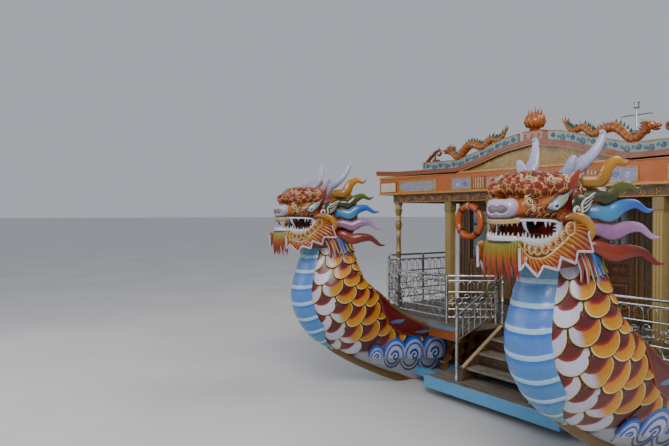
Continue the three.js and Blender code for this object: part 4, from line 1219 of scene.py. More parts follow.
def mirrored(shape):
    """Adds the other side's copy of the shape."""
    base = len(shape.points)
    shape.points += [Vector((p.x, -p.y, p.z)) for p in shape.points]
    shape.uvs += shape.uvs
    shape.paints += shape.paints
    shape.faces += [tuple(i + base for i in reversed(face)) for face in shape.faces]


def melted(shape, voxel, smooth, name):
    """The shape's overlapping solids as one smooth skin."""
    made = add_thing(name, shape.mesh(name))
    remesh = made.modifiers.new("skin", "REMESH")
    remesh.mode = "VOXEL"
    remesh.voxel_size = voxel
    ease = made.modifiers.new("ease", "SMOOTH")
    ease.factor, ease.iterations = 0.5, smooth
    graph = bpy.context.evaluated_depsgraph_get()
    graph.update()
    result = bpy.data.meshes.new_from_object(made.evaluated_get(graph))
    bpy.data.objects.remove(made)
    out = Shape()
    out.points = [v.co.copy() for v in result.vertices]
    out.faces = [tuple(p.vertices) for p in result.polygons]
    out.uvs = [(0, 0)] * len(out.points)
    bpy.data.meshes.remove(result)
    return out


SNOUT_LOFT = (
    # Columns: x, the low and the high z, and the half width.
    (0.16, 0.28, 0.7, 0.315), (0.3, 0.29, 0.68, 0.31), (0.38, 0.325, 0.64, 0.295), (0.5, 0.335, 0.58, 0.265),
    (0.62, 0.34, 0.545, 0.225), (0.72, 0.345, 0.54, 0.185), (0.79, 0.355, 0.525, 0.15),
)
JAW_LOFT = (
    (0.1, 0.0, 0.28, 0.3), (0.25, 0.03, 0.25, 0.3), (0.34, 0.04, 0.21, 0.285), (0.5, 0.05, 0.19, 0.255),
    (0.65, 0.07, 0.18, 0.215), (0.74, 0.1, 0.185, 0.17), (0.79, 0.12, 0.18, 0.12),
)


def head_base():
    """The head's form: one smooth skin, painted point by point."""
    raw = Shape()
    raw.ball((0.0, 0, 0.08), (0.39, 0.33, 0.24))
    super_ball(raw, (0.02, 0, 0.42), (0.36, 0.33, 0.34), 2.4)
    super_ball(raw, (0.37, 0, 0.665), (0.3, 0.285, 0.12), 2.5)
    super_ball(raw, (0.12, 0, 0.68), (0.3, 0.25, 0.105), 2.5)
    upright_loft(raw, SNOUT_LOFT)
    upright_loft(raw, JAW_LOFT)
    for way in (1, -1):
        raw.ball((0.17, way * 0.24, 0.34), (0.2, 0.12, 0.16))
        raw.ball((0.52, way * 0.2, 0.625), (0.2, 0.1, 0.075))
        raw.ball((0.64, way * 0.185, 0.465), (0.09, 0.07, 0.085))
        raw.ball((0.3, way * 0.27, 0.66), (0.1, 0.06, 0.09))
    base = melted(raw, 0.013, 5, "head")
    # dark is painted shade: the near black inside the open mouth.
    gold, orange, red, dark = rgb("a06a08"), rgb("a35208"), rgb("722006"), rgb("1c0d05")
    for p in base.points:
        x, y, z = p.x, abs(p.y), p.z
        colour = lerp(orange, gold, clamp((z - 0.45) / 0.25 + 0.2 * math.sin(19 * x) * math.sin(23 * y)))
        if z < 0.44 and x > 0.3:
            colour = lerp(red, orange, clamp((z - 0.34) / 0.12))
        if z < 0.21:
            colour = lerp(rgb("7a2c0a"), orange, clamp(z / 0.2))
        # The inside of the open mouth is painted near black, and its roof dark brown: painted shade.
        if x > 0.35 and 0.185 < z < 0.338 and (y < 0.24 - max(0, x - 0.55) * 0.35 or x < 0.4):
            colour = dark
        if x > 0.385 and 0.3 < z < 0.345 and y < 0.2:
            colour = rgb("4a2a0c")
        if x < -0.2:
            colour = lerp(colour, rgb("7a2a12"), min(1, (-0.2 - x) * 6))
        base.paints.append(colour)
    return base


def ring_band(shape, path, normals, wide, thick):
    """A rounded band along a path, flat to the surface that has these normals."""
    rows, path = [], [Vector(p) for p in path]
    for i, spot in enumerate(path):
        ahead = heading(path, i)
        out = Vector(normals[i])
        out = (out - ahead * out.dot(ahead)).normalized()
        across = out.cross(ahead)
        half = wide[i] if isinstance(wide, list) else wide
        row = []
        for k in range(10):
            c, s = squared(TURN * k / 10, 0.7)
            row.append(spot + across * (half * c) + out * (thick * s))
        rows.append(row)
    shape.grid(rows, ring=True, ends=True)


def lip_out(p):
    """The way a lip faces: sideways along the snout, and forward round its front."""
    return Vector((max(p[0] - 0.6, 0) * 2, p[1], 0)).normalized()


LOWER_LIP = (
    (0.37, 0.3, 0.325), (0.355, 0.305, 0.27), (0.39, 0.3, 0.2), (0.47, 0.282, 0.168), (0.56, 0.263, 0.16),
    (0.66, 0.235, 0.172), (0.73, 0.2, 0.19), (0.79, 0.14, 0.196), (0.812, 0.07, 0.195), (0.818, 0, 0.195),
)
UPPER_LIP = (
    (0.36, 0.302, 0.32), (0.42, 0.298, 0.343), (0.52, 0.28, 0.352), (0.62, 0.255, 0.354),
    (0.71, 0.225, 0.354), (0.775, 0.165, 0.348), (0.81, 0.08, 0.342), (0.82, 0, 0.34),
)


def tooth(shape, root, tip, radius, bend=0.0):
    """A cone from root to tip; bend bows its middle forward and takes its tip back."""
    root, tip = Vector(root), Vector(tip)
    side = Vector((-bend, 0, 0))
    path = curve([tuple(root), tuple((root + tip) / 2 - side * 0.5), tuple(tip + side)], 3)
    shape.tube(path, taper(path, radius, 1.6, 0.001), 7, 0.8, (1, 0, 0.1))


def mouth():
    """The lips, the teeth and the tongue."""
    lips, teeth = Shape(), Shape()
    white, beige, ink = "c4c6d4", "a98f58", "1c1410"
    low, top = curve(LOWER_LIP, 5), curve(UPPER_LIP, 5)
    low_side = [p for p in low if p[1] > 0.205]
    low_front = [p for p in low if p[1] <= 0.215]
    top_side = [p for p in top if p[1] > 0.2]
    top_front = [p for p in top if p[1] <= 0.215]
    for path, code, wide, thick in (
        (low_side, white, [0.04 - 0.008 * i / len(low_side) for i in range(len(low_side))], 0.016),
        (low_front, white, 0.024, 0.02), (top_side, white, 0.012, 0.014), (top_front, beige, 0.024, 0.016),
    ):
        ring_band(lips.paint(code), path, [lip_out(p) for p in path], wide, thick)
    for path, rise in ((low, -0.032), (top, 0.02)):
        rim = [Vector(p) + lip_out(p) * 0.008 + Vector((0, 0, rise)) for p in path[6 if rise < 0 else 2:]]
        lips.paint(ink).tube(rim, 0.006, 6)
    for k in range(5):
        y = 0.03 + 0.042 * k
        x = 0.822 - 0.09 * (y / 0.22) ** 3
        teeth.paint("c9c6bd")
        tooth(teeth, (x - 0.004, y, 0.205), (x - 0.01, y, 0.252 - 0.006 * (k % 2)), 0.017)
        teeth.paint(beige)
        tooth(teeth, (x - 0.006, y - 0.012, 0.33), (x - 0.01, y - 0.012, 0.3), 0.011)
    teeth.paint("c4c6d4")
    for k, spot in enumerate(low_side[8::2]):
        spot = Vector(spot) - lip_out(spot) * 0.004
        tooth(teeth, spot + Vector((0, 0, 0.02)), spot + Vector((0, 0, 0.055 + 0.008 * ((k * 7) % 3))), 0.014)
    for k in range(4):
        z = 0.21 + 0.03 * k
        tooth(teeth, (0.375, 0.292, z), (0.43 - 0.008 * (k % 2), 0.288, z + 0.004), 0.014)
    for x, y, tall in ((0.46, 0.287, 0.04), (0.5, 0.28, 0.05), (0.6, 0.26, 0.028)):
        tooth(teeth, (x, y, 0.348), (x - 0.004, y, 0.34 - tall), 0.014)
    tooth(teeth, (0.7, 0.222, 0.35), (0.65, 0.226, 0.235), 0.024, 0.02)
    tooth(teeth, (0.68, 0.222, 0.19), (0.66, 0.215, 0.26), 0.018)
    tongue = Shape().paint("6d1a10")
    tongue.ball((0.55, 0, 0.2), (0.2, 0.12, 0.035))
    both_cheeks("jaw_paint", (lips, "lips"), (teeth, "teeth"))
    tongue.heads("tongue", "gloss", "jaw_paint")


def nose_print(angle):
    """The outline of the two joined nostrils on the nose's front, as (y, z)."""
    pinch = 1 - 0.4 * math.exp(-((math.cos(angle) / 0.3) ** 2))
    return 0.142 * math.cos(angle), 0.444 + 0.05 * math.sin(angle) * pinch


def nose():
    """The joined nostrils with a line round them; the bulb carries painted light and shade."""
    raw = Shape()
    super_ball(raw, (0.752, 0, 0.445), (0.105, 0.178, 0.092), 2.7)
    raw.ball((0.745, 0.1, 0.46), (0.1, 0.085, 0.085))
    raw.ball((0.745, -0.1, 0.46), (0.1, 0.085, 0.085))
    bulb = melted(raw, 0.01, 6, "nose")
    for p in bulb.points:
        side, rise = p.y / 0.142, (p.z - 0.444) / 0.05
        pinch = 1 - 0.4 * math.exp(-((side / 0.3) ** 2))
        inside = side * side + (rise / pinch) ** 2 if p.x > 0.77 else 9
        hole = clamp((1.1 - inside) / 0.4)
        p.x -= 0.012 * hole
        # The bulb is painted lighter towards its top and darker below: painted light and shade. The nostrils'
        # dents are painted darker still, as painted shade.
        shade = lerp(rgb("8d8494"), rgb("b9aec2"), clamp((p.z - 0.42) / 0.08))
        shade = lerp(shade, rgb("7a6438"), clamp((0.4 - p.z) / 0.04))
        deep = lerp(rgb("57484c"), rgb("7d7078"), clamp((p.z - 0.42) / 0.06))
        bulb.paints.append(lerp(shade, deep, hole))
    tree = tree_of(bulb)

    def place(a, b, lift):
        ahead = Vector((1, 0, 0))
        return on_form(tree, Vector((2, a, b)), -ahead, Vector((0.8, a, b)), ahead, lift)

    line = Shape().paint("a796c4")
    ribbon(line, place, [nose_print(TURN * k / 48) for k in range(49)], 0.013, 0.006)
    bulb.heads("nose", "gloss", "head_paint")
    line.heads("nose_line", "gloss", "head_paint")


PATCH = (
    (0.4, 0.58), (0.36, 0.5), (0.3, 0.43), (0.2, 0.4), (0.12, 0.45), (0.085, 0.54), (0.09, 0.64),
    (0.13, 0.76), (0.18, 0.68), (0.25, 0.63), (0.33, 0.61),
)
PATCH_RINGS = ((1, -0.01), (1, 0.012), (0.85, 0.014), (0.6, 0.012), (0.3, 0.01), (0.04, 0.01))
ALMOND = (
    (0.485, 0.452), (0.455, 0.496), (0.39, 0.54), (0.3, 0.6), (0.2, 0.668), (0.262, 0.56), (0.34, 0.476),
    (0.415, 0.436),
)
ALMOND_RINGS = (
    # Columns: share of the outline's size, lift and colour.
    (1.13, 0.0, "1b1516"), (1.13, 0.024, "1b1516"), (1, 0.026, "1b1516"), (0.97, 0.03, "5d6f86"),
    (0.8, 0.036, "7f8f88"), (0.5, 0.04, "8f9c92"), (0.2, 0.042, "8f9c92"), (0.02, 0.043, "8f9c92"),
)
IRIS = (
    # Columns: x and z, radius, rise and colour. The last row, a small white dot beside the pupil, is a
    # painted highlight.
    (0.413, 0.48, 0.034, 0.036, "b9c6d6"), (0.416, 0.479, 0.021, 0.042, "5f7cb0"),
    (0.419, 0.478, 0.012, 0.047, "101018"), (0.429, 0.488, 0.006, 0.054, "ffffff"),
)


def inset_rows(place, outline, centre, rings):
    """A closed outline on a surface, once for each ring's share of its size and lift."""
    closed = curve(outline + outline[:1], 4)[:-1]
    x, y, _ = Vector((*centre, 0))
    return [
        [place(x + (a - x) * part, y + (b - y) * part, rise) for a, b in closed] for part, rise, *_ in rings
    ]


def eye_parts(place):
    """The eye's dark red patch, and the almond with its iris and a painted highlight."""
    patch, ball = Shape().paint("6e0f08"), Shape()
    patch.grid(inset_rows(place, PATCH, (0.24, 0.53), PATCH_RINGS), ring=True, ends=True)
    rows = inset_rows(place, ALMOND, (0.375, 0.5), ALMOND_RINGS)
    paints = [rgb(code) for _, _, code in ALMOND_RINGS for _ in rows[0]]
    ball.grid(rows, ring=True, ends=True, paints=paints)
    for x, z, r, rise, code in IRIS:
        disc(ball.paint(code), raised(place, rise), (x, z), r, 0.01, around=18)
    both_cheeks("head_paint", (patch, "eye_patch"), (ball, "eye"))


FRILL_TOP = (
    (0.822, 0.156), (0.755, 0.083), (0.689, 0.038), (0.59, 0.03), (0.523, 0.065), (0.439, 0.137),
    (0.343, 0.233), (0.3, 0.3), (0.3, 0.36),
)
FRILL_LOW = (
    (0.825, 0.12), (0.818, -0.066), (0.765, -0.005), (0.643, -0.119), (0.594, -0.031), (0.473, -0.065),
    (0.451, 0.04), (0.308, -0.012), (0.284, 0.091), (0.075, 0.08), (0.15, 0.235), (0.08, 0.3), (0.15, 0.38),
)


def frill_y(x):
    """How far from the middle the frill stands."""
    return 0.395 - 0.142 * clamp((x - 0.2) / 0.62) ** 1.6


def frill():
    """The rayed zigzag frill that stands along the jaw, with its pale edges."""
    shape, edge = Shape(), Shape().paint("cdbfd6")
    count = 144
    rows, paints = [], []
    low_path = []
    for i in range(count + 1):
        part = i / count
        top = spline(FRILL_TOP, part * (len(FRILL_TOP) - 1))
        place = part * (len(FRILL_LOW) - 1)
        k = min(int(place), len(FRILL_LOW) - 2)
        low = lerp(FRILL_LOW[k], FRILL_LOW[k + 1], place - k)
        low_path.append(low)
        ray = math.cos(TURN * part * 24)
        row, codes = [], []
        for side in (1, -1):
            order = (0, 0.2, 0.4, 0.6, 0.8, 0.95, 1)
            for t in order[::side]:
                x, z = lerp(top, low, t)
                out = 0.006 * ray * math.sin(math.pi * t) + 0.02 * math.sin(math.pi * t * 0.5)
                row.append((x, frill_y(x) + out + (0.01 * side), z))
                colour = lerp(rgb("c07c0e"), rgb("8e2008"), min(1, abs(t - 0.1) * 1.5))
                colour = lerp(colour, rgb("5c0d06"), 0.75 if ray < -0.2 else 0.0)
                colour = lerp(colour, rgb("cf8c12"), 0.7 if ray > 0.6 and 0.25 < t < 0.95 else 0.0)
                codes.append(colour)
        rows.append(row[::-1])
        paints += codes[::-1]
    shape.grid(rows, ring=True, ends=True, paints=paints)
    path = [(x, frill_y(x) + 0.022, z) for x, z in low_path]
    edge.tube(path, 0.0135, 8, 1.0, (0, 1, 0))
    path = [(x, frill_y(x) + 0.006, z) for x, z in curve(FRILL_TOP, 10)]
    edge.paint("c9a85a").tube(path, 0.009, 8, 1.0, (0, 1, 0))
    both_cheeks("mane_paint", (shape, "frill"), (edge, "frill_edge"))


BEADS = (
    (0.74, 0.13, 0.03), (0.69, 0.105, 0.035), (0.63, 0.098, 0.036), (0.57, 0.108, 0.037),
    (0.51, 0.138, 0.038), (0.455, 0.178, 0.038), (0.405, 0.222, 0.042), (0.35, 0.28, 0.055),
)


def beads():
    """The chin's row of beads, each with a ring."""
    shape, ring = Shape(), Shape().paint("c9b47c")
    for x, z, r in BEADS:
        y = frill_y(x)
        shape.paint("a9660c").ball((x, y, z), (r * 0.86, r * 0.6, r * 0.86), 8, 12)
        shape.paint("7a1c08").ball(
            (x + 0.003, y + r * 0.45, z + r * 0.2), (r * 0.45, r * 0.2, r * 0.4), 6, 10,
        )
        loop = [(a, y + r * 0.25, b) for a, b in circle((x, z), r, 20)]
        ring.tube(loop, 0.0085, 6, 1.0, (0, 1, 0))
    both_cheeks("jaw_paint", (shape, "chin_beads"), (ring, "bead_rings"))


CHEEK_ROLL = (
    (0.415, 0.385, 0.372), (0.34, 0.4, 0.388), (0.255, 0.41, 0.376), (0.16, 0.41, 0.338),
    (0.095, 0.41, 0.265), (0.1, 0.405, 0.2), (0.13, 0.4, 0.155),
)
CHEEK_SWIRL = (
    (0.27, 0.43), (0.255, 0.445), (0.275, 0.466), (0.315, 0.445), (0.308, 0.4), (0.255, 0.388),
    (0.205, 0.425), (0.21, 0.485), (0.165, 0.53), (0.1, 0.555), (0.03, 0.59),
)


def cheek():
    """The cheek's gold roll with its outline, and the pale swirl with three feathers."""
    gold, dark, pale = Shape(), Shape().paint("17110c"), Shape().paint("c9cac4")
    path = curve(CHEEK_ROLL, 5)
    count = len(path)
    radii = [0.012 + 0.034 * math.sin(math.pi * min(1, (i + 1.5) / (count + 1))) for i in range(count)]
    paints = fade("c08a1c", "8a4a0c", [abs(2 * i / count - 1) for i in range(count)])
    gold.tube(path, radii, 12, 1.0, (0, 1, 0), paints)
    outer = [Vector(p) + Vector((-0.004, -0.004, 0.0)) for p in path]
    shift = []
    for i, p in enumerate(outer):
        side = heading(outer, i).cross(Vector((0, 1, 0)))
        shift.append(p - side * (radii[i] * 0.98))
    dark.tube(shift, 0.009, 6, 1.0, (0, 1, 0))
    swirl = curve([(x, 0.405, z) for x, z in CHEEK_SWIRL], 4)
    pale.tube(swirl, [0.014 - 0.00012 * i for i in range(len(swirl))], 8, 1.0, (0, 1, 0))
    for z, reach in ((0.52, 0.03), (0.485, 0.05), (0.455, 0.07)):
        feather = curve([(x, 0.4, q) for x, q in ((0.17, z - 0.03), (0.12, z - 0.005), (reach, z + 0.04))], 5)
        pale.tube(feather, [0.0085 - 0.0005 * i for i in range(len(feather))], 6, 1.0, (0, 1, 0))
    dark.paint("2c2c10").ball((0.15, 0.36, 0.48), (0.13, 0.035, 0.1), 8, 14)
    both_cheeks("head_paint", (gold, "cheek_bracket"), (dark, "cheek_outline"), (pale, "cheek_spiral"))


HORN = (
    (0.12, 0.185, 0.68, 0.085), (0.06, 0.21, 0.79, 0.075), (-0.05, 0.245, 0.86, 0.062),
    (-0.145, 0.285, 0.95, 0.046), (-0.205, 0.317, 1.06, 0.034), (-0.222, 0.328, 1.13, 0.028),
    (-0.195, 0.33, 1.153, 0.02),
)
KNOB = (
    (0.115, 0.21, 0.74, 0.06), (0.115, 0.24, 0.84, 0.044), (0.105, 0.265, 0.905, 0.028),
    (0.1, 0.268, 0.917, 0.012),
)
EAR = (
    (0.28, 0.3, 0.57, 0.065), (0.255, 0.325, 0.66, 0.06), (0.225, 0.355, 0.74, 0.035),
    (0.2, 0.377, 0.79, 0.006),
)


def horns():
    """The horns, their knobs and the ears."""
    shape, ears = Shape(), Shape()
    for rows, sides in ((HORN, 14), (KNOB, 10)):
        path = curve(rows, 6)
        count = len(path)
        radii = [p[3] * (1 + 0.025 * math.sin(i * 1.9)) for i, p in enumerate(path)]
        paints = fade("7c7aa4", "b9bfe0", [min(1, 0.25 + i / count) for i in range(count)])
        shape.tube([p[:3] for p in path], radii, sides, 1.0, (0, 1, 0), paints)
    path = curve(EAR, 5)
    paints = fade("6e0f08", "a9450c", [i / len(path) for i in range(len(path))])
    ears.tube([p[:3] for p in path], [p[3] for p in path], 10, 0.45, (0.4, 0, 1), paints)
    mirrored(shape)
    mirrored(ears)
    shape.heads("horns", "gloss", "head_paint", smooth=60)
    ears.heads("ears", "gloss", "head_paint")


FLAMES = (
    # Columns: three colours from root to tip, then root, middle and tip, and the radius.
    ("96690a b57f0c 8f6008", (-0.06, 0.37, 0.7), (-0.18, 0.4, 0.815), (-0.43, 0.446, 0.896), 0.066),
    ("2c330a 4c5a0e 3f4a0e", (-0.08, 0.38, 0.56), (-0.22, 0.446, 0.6), (-0.49, 0.527, 0.654), 0.062),
    ("3a80b4 1d55b4 2a68cc", (-0.06, 0.38, 0.42), (-0.23, 0.482, 0.455), (-0.53, 0.607, 0.449), 0.068),
    ("8c5f90 9a72a4 a98fc4", (-0.08, 0.38, 0.27), (-0.28, 0.5, 0.27), (-0.55, 0.643, 0.2), 0.066),
    ("7e2408 64090a 6e0a0a", (-0.06, 0.38, 0.115), (-0.29, 0.509, 0.06), (-0.58, 0.661, -0.035), 0.07),
)


def flame_path(root, middle, tip):
    """A flame's line, from inside the head to its tip, with a wave in it."""
    def lift(p, z):
        return (p[0], p[1], p[2] + z)

    return curve([
        (0.02, root[1] - 0.08, root[2]), root, lift(lerp(root, middle, 0.5), -0.03), lift(middle, 0.015),
        lift(lerp(middle, tip, 0.4), 0.042), lift(lerp(middle, tip, 0.75), -0.014), tip,
    ], 6)


def flames():
    """The mane's five flames a side, and the nape they stand on."""
    shape = Shape()
    for codes, root, middle, tip, size in FLAMES:
        path = flame_path(root, middle, tip)
        count = len(path)
        stops = [0.8, 0.85, 1.05, 0.88, 0.58, 0.33, 0.06]
        radii = [size * spline(stops, i / 6) for i in range(count)]
        colours = [rgb(c) for c in codes.split()]
        paints = [
            spline([colours[0], colours[0], colours[1], colours[2]], 3 * i / (count - 1))
            for i in range(count)
        ]
        paints = [tuple(max(0, v) for v in p) for p in paints]
        shape.tube(path, radii, 18, 0.52, (0, 0, 1), paints, groove=0.05, lobes=5)
    mirrored(shape)
    raw = Shape()
    super_ball(raw, (-0.2, 0, 0.4), (0.24, 0.4, 0.36), 2.8)
    back = melted(raw, 0.02, 4, "nape")
    back.paints = [lerp(rgb("5a1c08"), rgb("8f560c"), clamp(p.z / 0.7)) for p in back.points]
    shape.heads("flames", "gloss", "mane_paint", replaces=["mane"], smooth=60)
    back.heads("nape", "gloss", "mane_paint")


def strands():
    """The beard's strands and the neck's flat locks."""
    beard, locks = Shape(), Shape()
    for k in range(17):
        part = k / 16
        y = 0.21 * (1 - 2 * part)
        x = 0.815 - 1.1 * y * y
        drop = 0.13 + 0.05 * ((k * 5) % 7) / 6 + (0.03 if k in (0, 16) else 0)
        sway = 0.012 * ((k % 3) - 1)
        path = curve([
            (x - 0.03, y, 0.17), (x, y * 1.05, 0.08), (x + 0.008, y * 1.1 + sway, -0.02),
            (x - 0.01 - 0.02 * (k % 2), y * 1.15 + sway * 2, -drop),
        ], 5)
        count = len(path)
        paints = fade("857c0a", "a01c06", [clamp(1.9 * i / count - 0.35) for i in range(count)])
        beard.tube(path, taper(path, 0.028, 1.7, 0.002), 8, 0.8, (1, 0, 0), paints)
    rows = (
        (0.17, 0.335, "8e2008"), (0.11, 0.35, "b5690e"), (0.05, 0.355, "6e0f0a"), (-0.01, 0.355, "2a6fb8"),
        (-0.07, 0.35, "1c4a94"), (-0.14, 0.34, "5c6a14"),
    )
    for k, (x, y, code) in enumerate(rows):
        length = 0.24 + 0.03 * (k % 2)
        path = curve([
            (x, y - 0.03, 0.1), (x - 0.01, y + 0.01, 0.02), (x - 0.04, y + 0.02, -0.08),
            (x - 0.035 - 0.02 * k, y + 0.02, 0.05 - length),
        ], 5)
        radii = taper(path, 0.038, 1.8, 0.002)
        locks.paint("cfc6cc").tube(path, radii, 10, 0.35, (1, 0, 0))
        inner = [Vector(p) + Vector((0.0, 0.012, 0)) for p in path]
        locks.paint(code).tube(inner, [r * 0.72 for r in radii], 10, 0.4, (1, 0, 0))
    mirrored(locks)
    beard.heads("beard", "gloss", "jaw_paint")
    locks.heads("neck_locks", "gloss", "mane_paint")


SNOUT_SCALLOPS = (
    # Each row's height, then (x, z, radius) of its scallops.
    (0.016, (
        (0.24, 0.71, 0.04), (0.31, 0.7, 0.038), (0.37, 0.665, 0.036), (0.44, 0.7, 0.04), (0.52, 0.67, 0.036),
        (0.5, 0.735, 0.035), (0.6, 0.7, 0.04), (0.66, 0.645, 0.036), (0.58, 0.63, 0.033), (0.3, 0.755, 0.033),
        (0.08, 0.62, 0.038), (0.05, 0.55, 0.036), (0.02, 0.68, 0.038), (-0.02, 0.61, 0.036),
    )),
    (0.018, (
        (0.66, 0.5, 0.042), (0.6, 0.455, 0.036), (0.56, 0.51, 0.038), (0.655, 0.425, 0.033),
        (0.53, 0.44, 0.032), (0.6, 0.392, 0.03), (0.53, 0.385, 0.028), (0.46, 0.39, 0.03),
        (0.39, 0.395, 0.032), (0.53, 0.54, 0.03), (0.6, 0.54, 0.03),
    )),
)
SNOUT_CURLS = (
    (0.66, 0.505, 0.036, 1), (0.61, 0.455, 0.03, -1), (0.44, 0.7, 0.036, 1), (0.6, 0.7, 0.036, -1),
    (0.31, 0.7, 0.034, 1), (0.24, 0.71, 0.034, -1),
)


def crown_map(tree):
    """Places (x, y) on the head's top, by rays from above."""
    up = Vector((0, 0, 1))
    return lambda a, b, lift: on_form(tree, Vector((a, b, 1.5)), -up, Vector((a, b, 0.7)), up, lift)


def brow_map(tree):
    """Places round the brow: a metres round from its front, at the height b."""
    def place(a, b, lift):
        middle, way = Vector((0.36, 0, b)), Vector((math.cos(a / 0.27), math.sin(a / 0.27), 0))
        return on_form(tree, middle + way * 0.8, -way, middle + way * 0.28, way, lift)
    return place


def head_scallops(tree):
    """The head's small scales, and the cream curls on the snout."""
    shape, place = Shape(), side_map(tree)

    def scallop(on, centre, radius, height):
        disc(shape, on, centre, radius, height, around=18, tint=(0, 0, random.random()))

    for height, rows in SNOUT_SCALLOPS:
        for x, z, r in rows:
            scallop(place, (x, z), r, height)
    mirrored(shape)
    top, brow = crown_map(tree), brow_map(tree)
    for row in range(7):
        x = 0.1 + row * 0.078
        count = 3 + row % 2
        for k in range(count):
            y = (k - (count - 1) / 2) * 0.105 + 0.012 * math.sin(5 * k + 3 * row)
            scallop(top, (x, y), 0.042 + 0.006 * random.random(), 0.014)
    for row, z in enumerate((0.6, 0.648, 0.695, 0.738)):
        for k in range(-6, 7):
            a = (k + 0.5 * (row % 2)) * 0.092 + 0.008 * math.sin(7 * k + row)
            if abs(a) < 0.53:
                scallop(brow, (a, z), 0.038 + 0.007 * random.random(), 0.016)
    shape.heads("head_scallops", "scallop", "head_paint")
    curls = Shape().paint("cfc09a")
    for x, z, r, way in SNOUT_CURLS:
        curl(curls, raised(place, 0.016), (x, z), r, 1.6, 1.2, way, 0.011, 0.008)
    both_cheeks("head_paint", (curls, "snout_curls"))


def build_heads():
    """Everything on the heads, in one go for both."""
    base = head_base()
    tree = tree_of(base)
    base.heads("head_form", "gloss", "head_paint", replaces=["head", "jaw"], smooth=80)
    eye_parts(side_map(tree))
    nose()
    mouth()
    frill()
    beads()
    cheek()
    horns()
    flames()
    strands()
    head_scallops(tree)


# Helpers for built work

def beam(shape, a, b, low, high, thick, bevel=0.004):
    """An upright board or beam that stands on the line from a to b, each (x, y)."""
    run = Vector((b[0] - a[0], b[1] - a[1], 0))
    shape.move = Matrix.Translation((a[0], a[1], 0)) @ run.to_track_quat("X", "Z").to_matrix().to_4x4()
    shape.box((0, -thick / 2, low), (run.length, thick / 2, high), bevel)
    shape.move = Matrix()


def prism(shape, outline, place, low, high):
    """A flat outline of (a, b) points, given depth: place(a, b, c) is a point at depth c."""
    count = len(outline)
    points = [place(a, b, c) for c in (low, high) for a, b in outline]
    faces = [(k, (k + 1) % count, count + (k + 1) % count, count + k) for k in range(count)]
    shape.add(points, faces + [tuple(range(count))[::-1], tuple(range(count, 2 * count))])


def strip(shape, path, place, low, high, depth):
    """A band along a path of (a, b) points, from b + low to b + high, with depth (back, front)."""
    rows = []
    for a, b in path:
        rows.append([
            place(a, b + q, c)
            for q, c in ((low, depth[0]), (low, depth[1]), (high, depth[1]), (high, depth[0]))
        ])
    shape.grid(rows, ring=True, ends=True)


def frame_of(shape, place, a, b, wide, depth):
    """A square frame of four flat bars: a and b are its outer (low, high) pairs."""
    for box in (
        ((a[0], a[1]), (b[0], b[0] + wide)), ((a[0], a[1]), (b[1] - wide, b[1])),
        ((a[0], a[0] + wide), (b[0] + wide, b[1] - wide)), ((a[1] - wide, a[1]), (b[0] + wide, b[1] - wide)),
    ):
        slab(shape, place, *box, depth)


def slab(shape, place, a, b, depth):
    """A box in a plane's own measures: a, b and depth are (low, high) pairs."""
    prism(shape, ((a[0], b[0]), (a[1], b[0]), (a[1], b[1]), (a[0], b[1])), place, depth[0], depth[1])


def facing(x):
    """The plane that faces forward at x: across is Y and up is Z."""
    return lambda a, b, c: Vector((x + c, a, b))


def facing_aft(x):
    """The plane that faces aft at x: across runs to starboard."""
    return lambda a, b, c: Vector((x - c, -a, b))


def facing_out(y, way=1):
    """The plane that faces away from the middle at y: across runs along X."""
    return lambda a, b, c: Vector((-a * way, (y + c) * way, b))


# Deck, platform and stair

DECK_LOW = 0.951
# The wells and the stair lie between these lines.
STRIPS = (-3.22, -2.31, -1.65, -0.66, 0.0, 0.66, 1.65, 2.31, 3.22)
WELL_X = (-6.15, -4.95)
STAIR_X = 4.58


def deck_end(y):
    """How far forward the deck reaches."""
    y = abs(y)
    return 5.4 if y < 2.33 else lerp(5.27, 4.76, (y - 2.33) / 0.89)


def deck_spans(low, high):
    """The stretches of deck between two lines along the boat."""
    if low >= 0.66 or high <= -0.66:
        end = 5.4
    else:
        end = STAIR_X
    if abs(abs(low + high) / 2 - HULL_Y) < 0.33:
        return ((-6.8, WELL_X[0]), (WELL_X[1], end))
    return ((-6.8, end),)


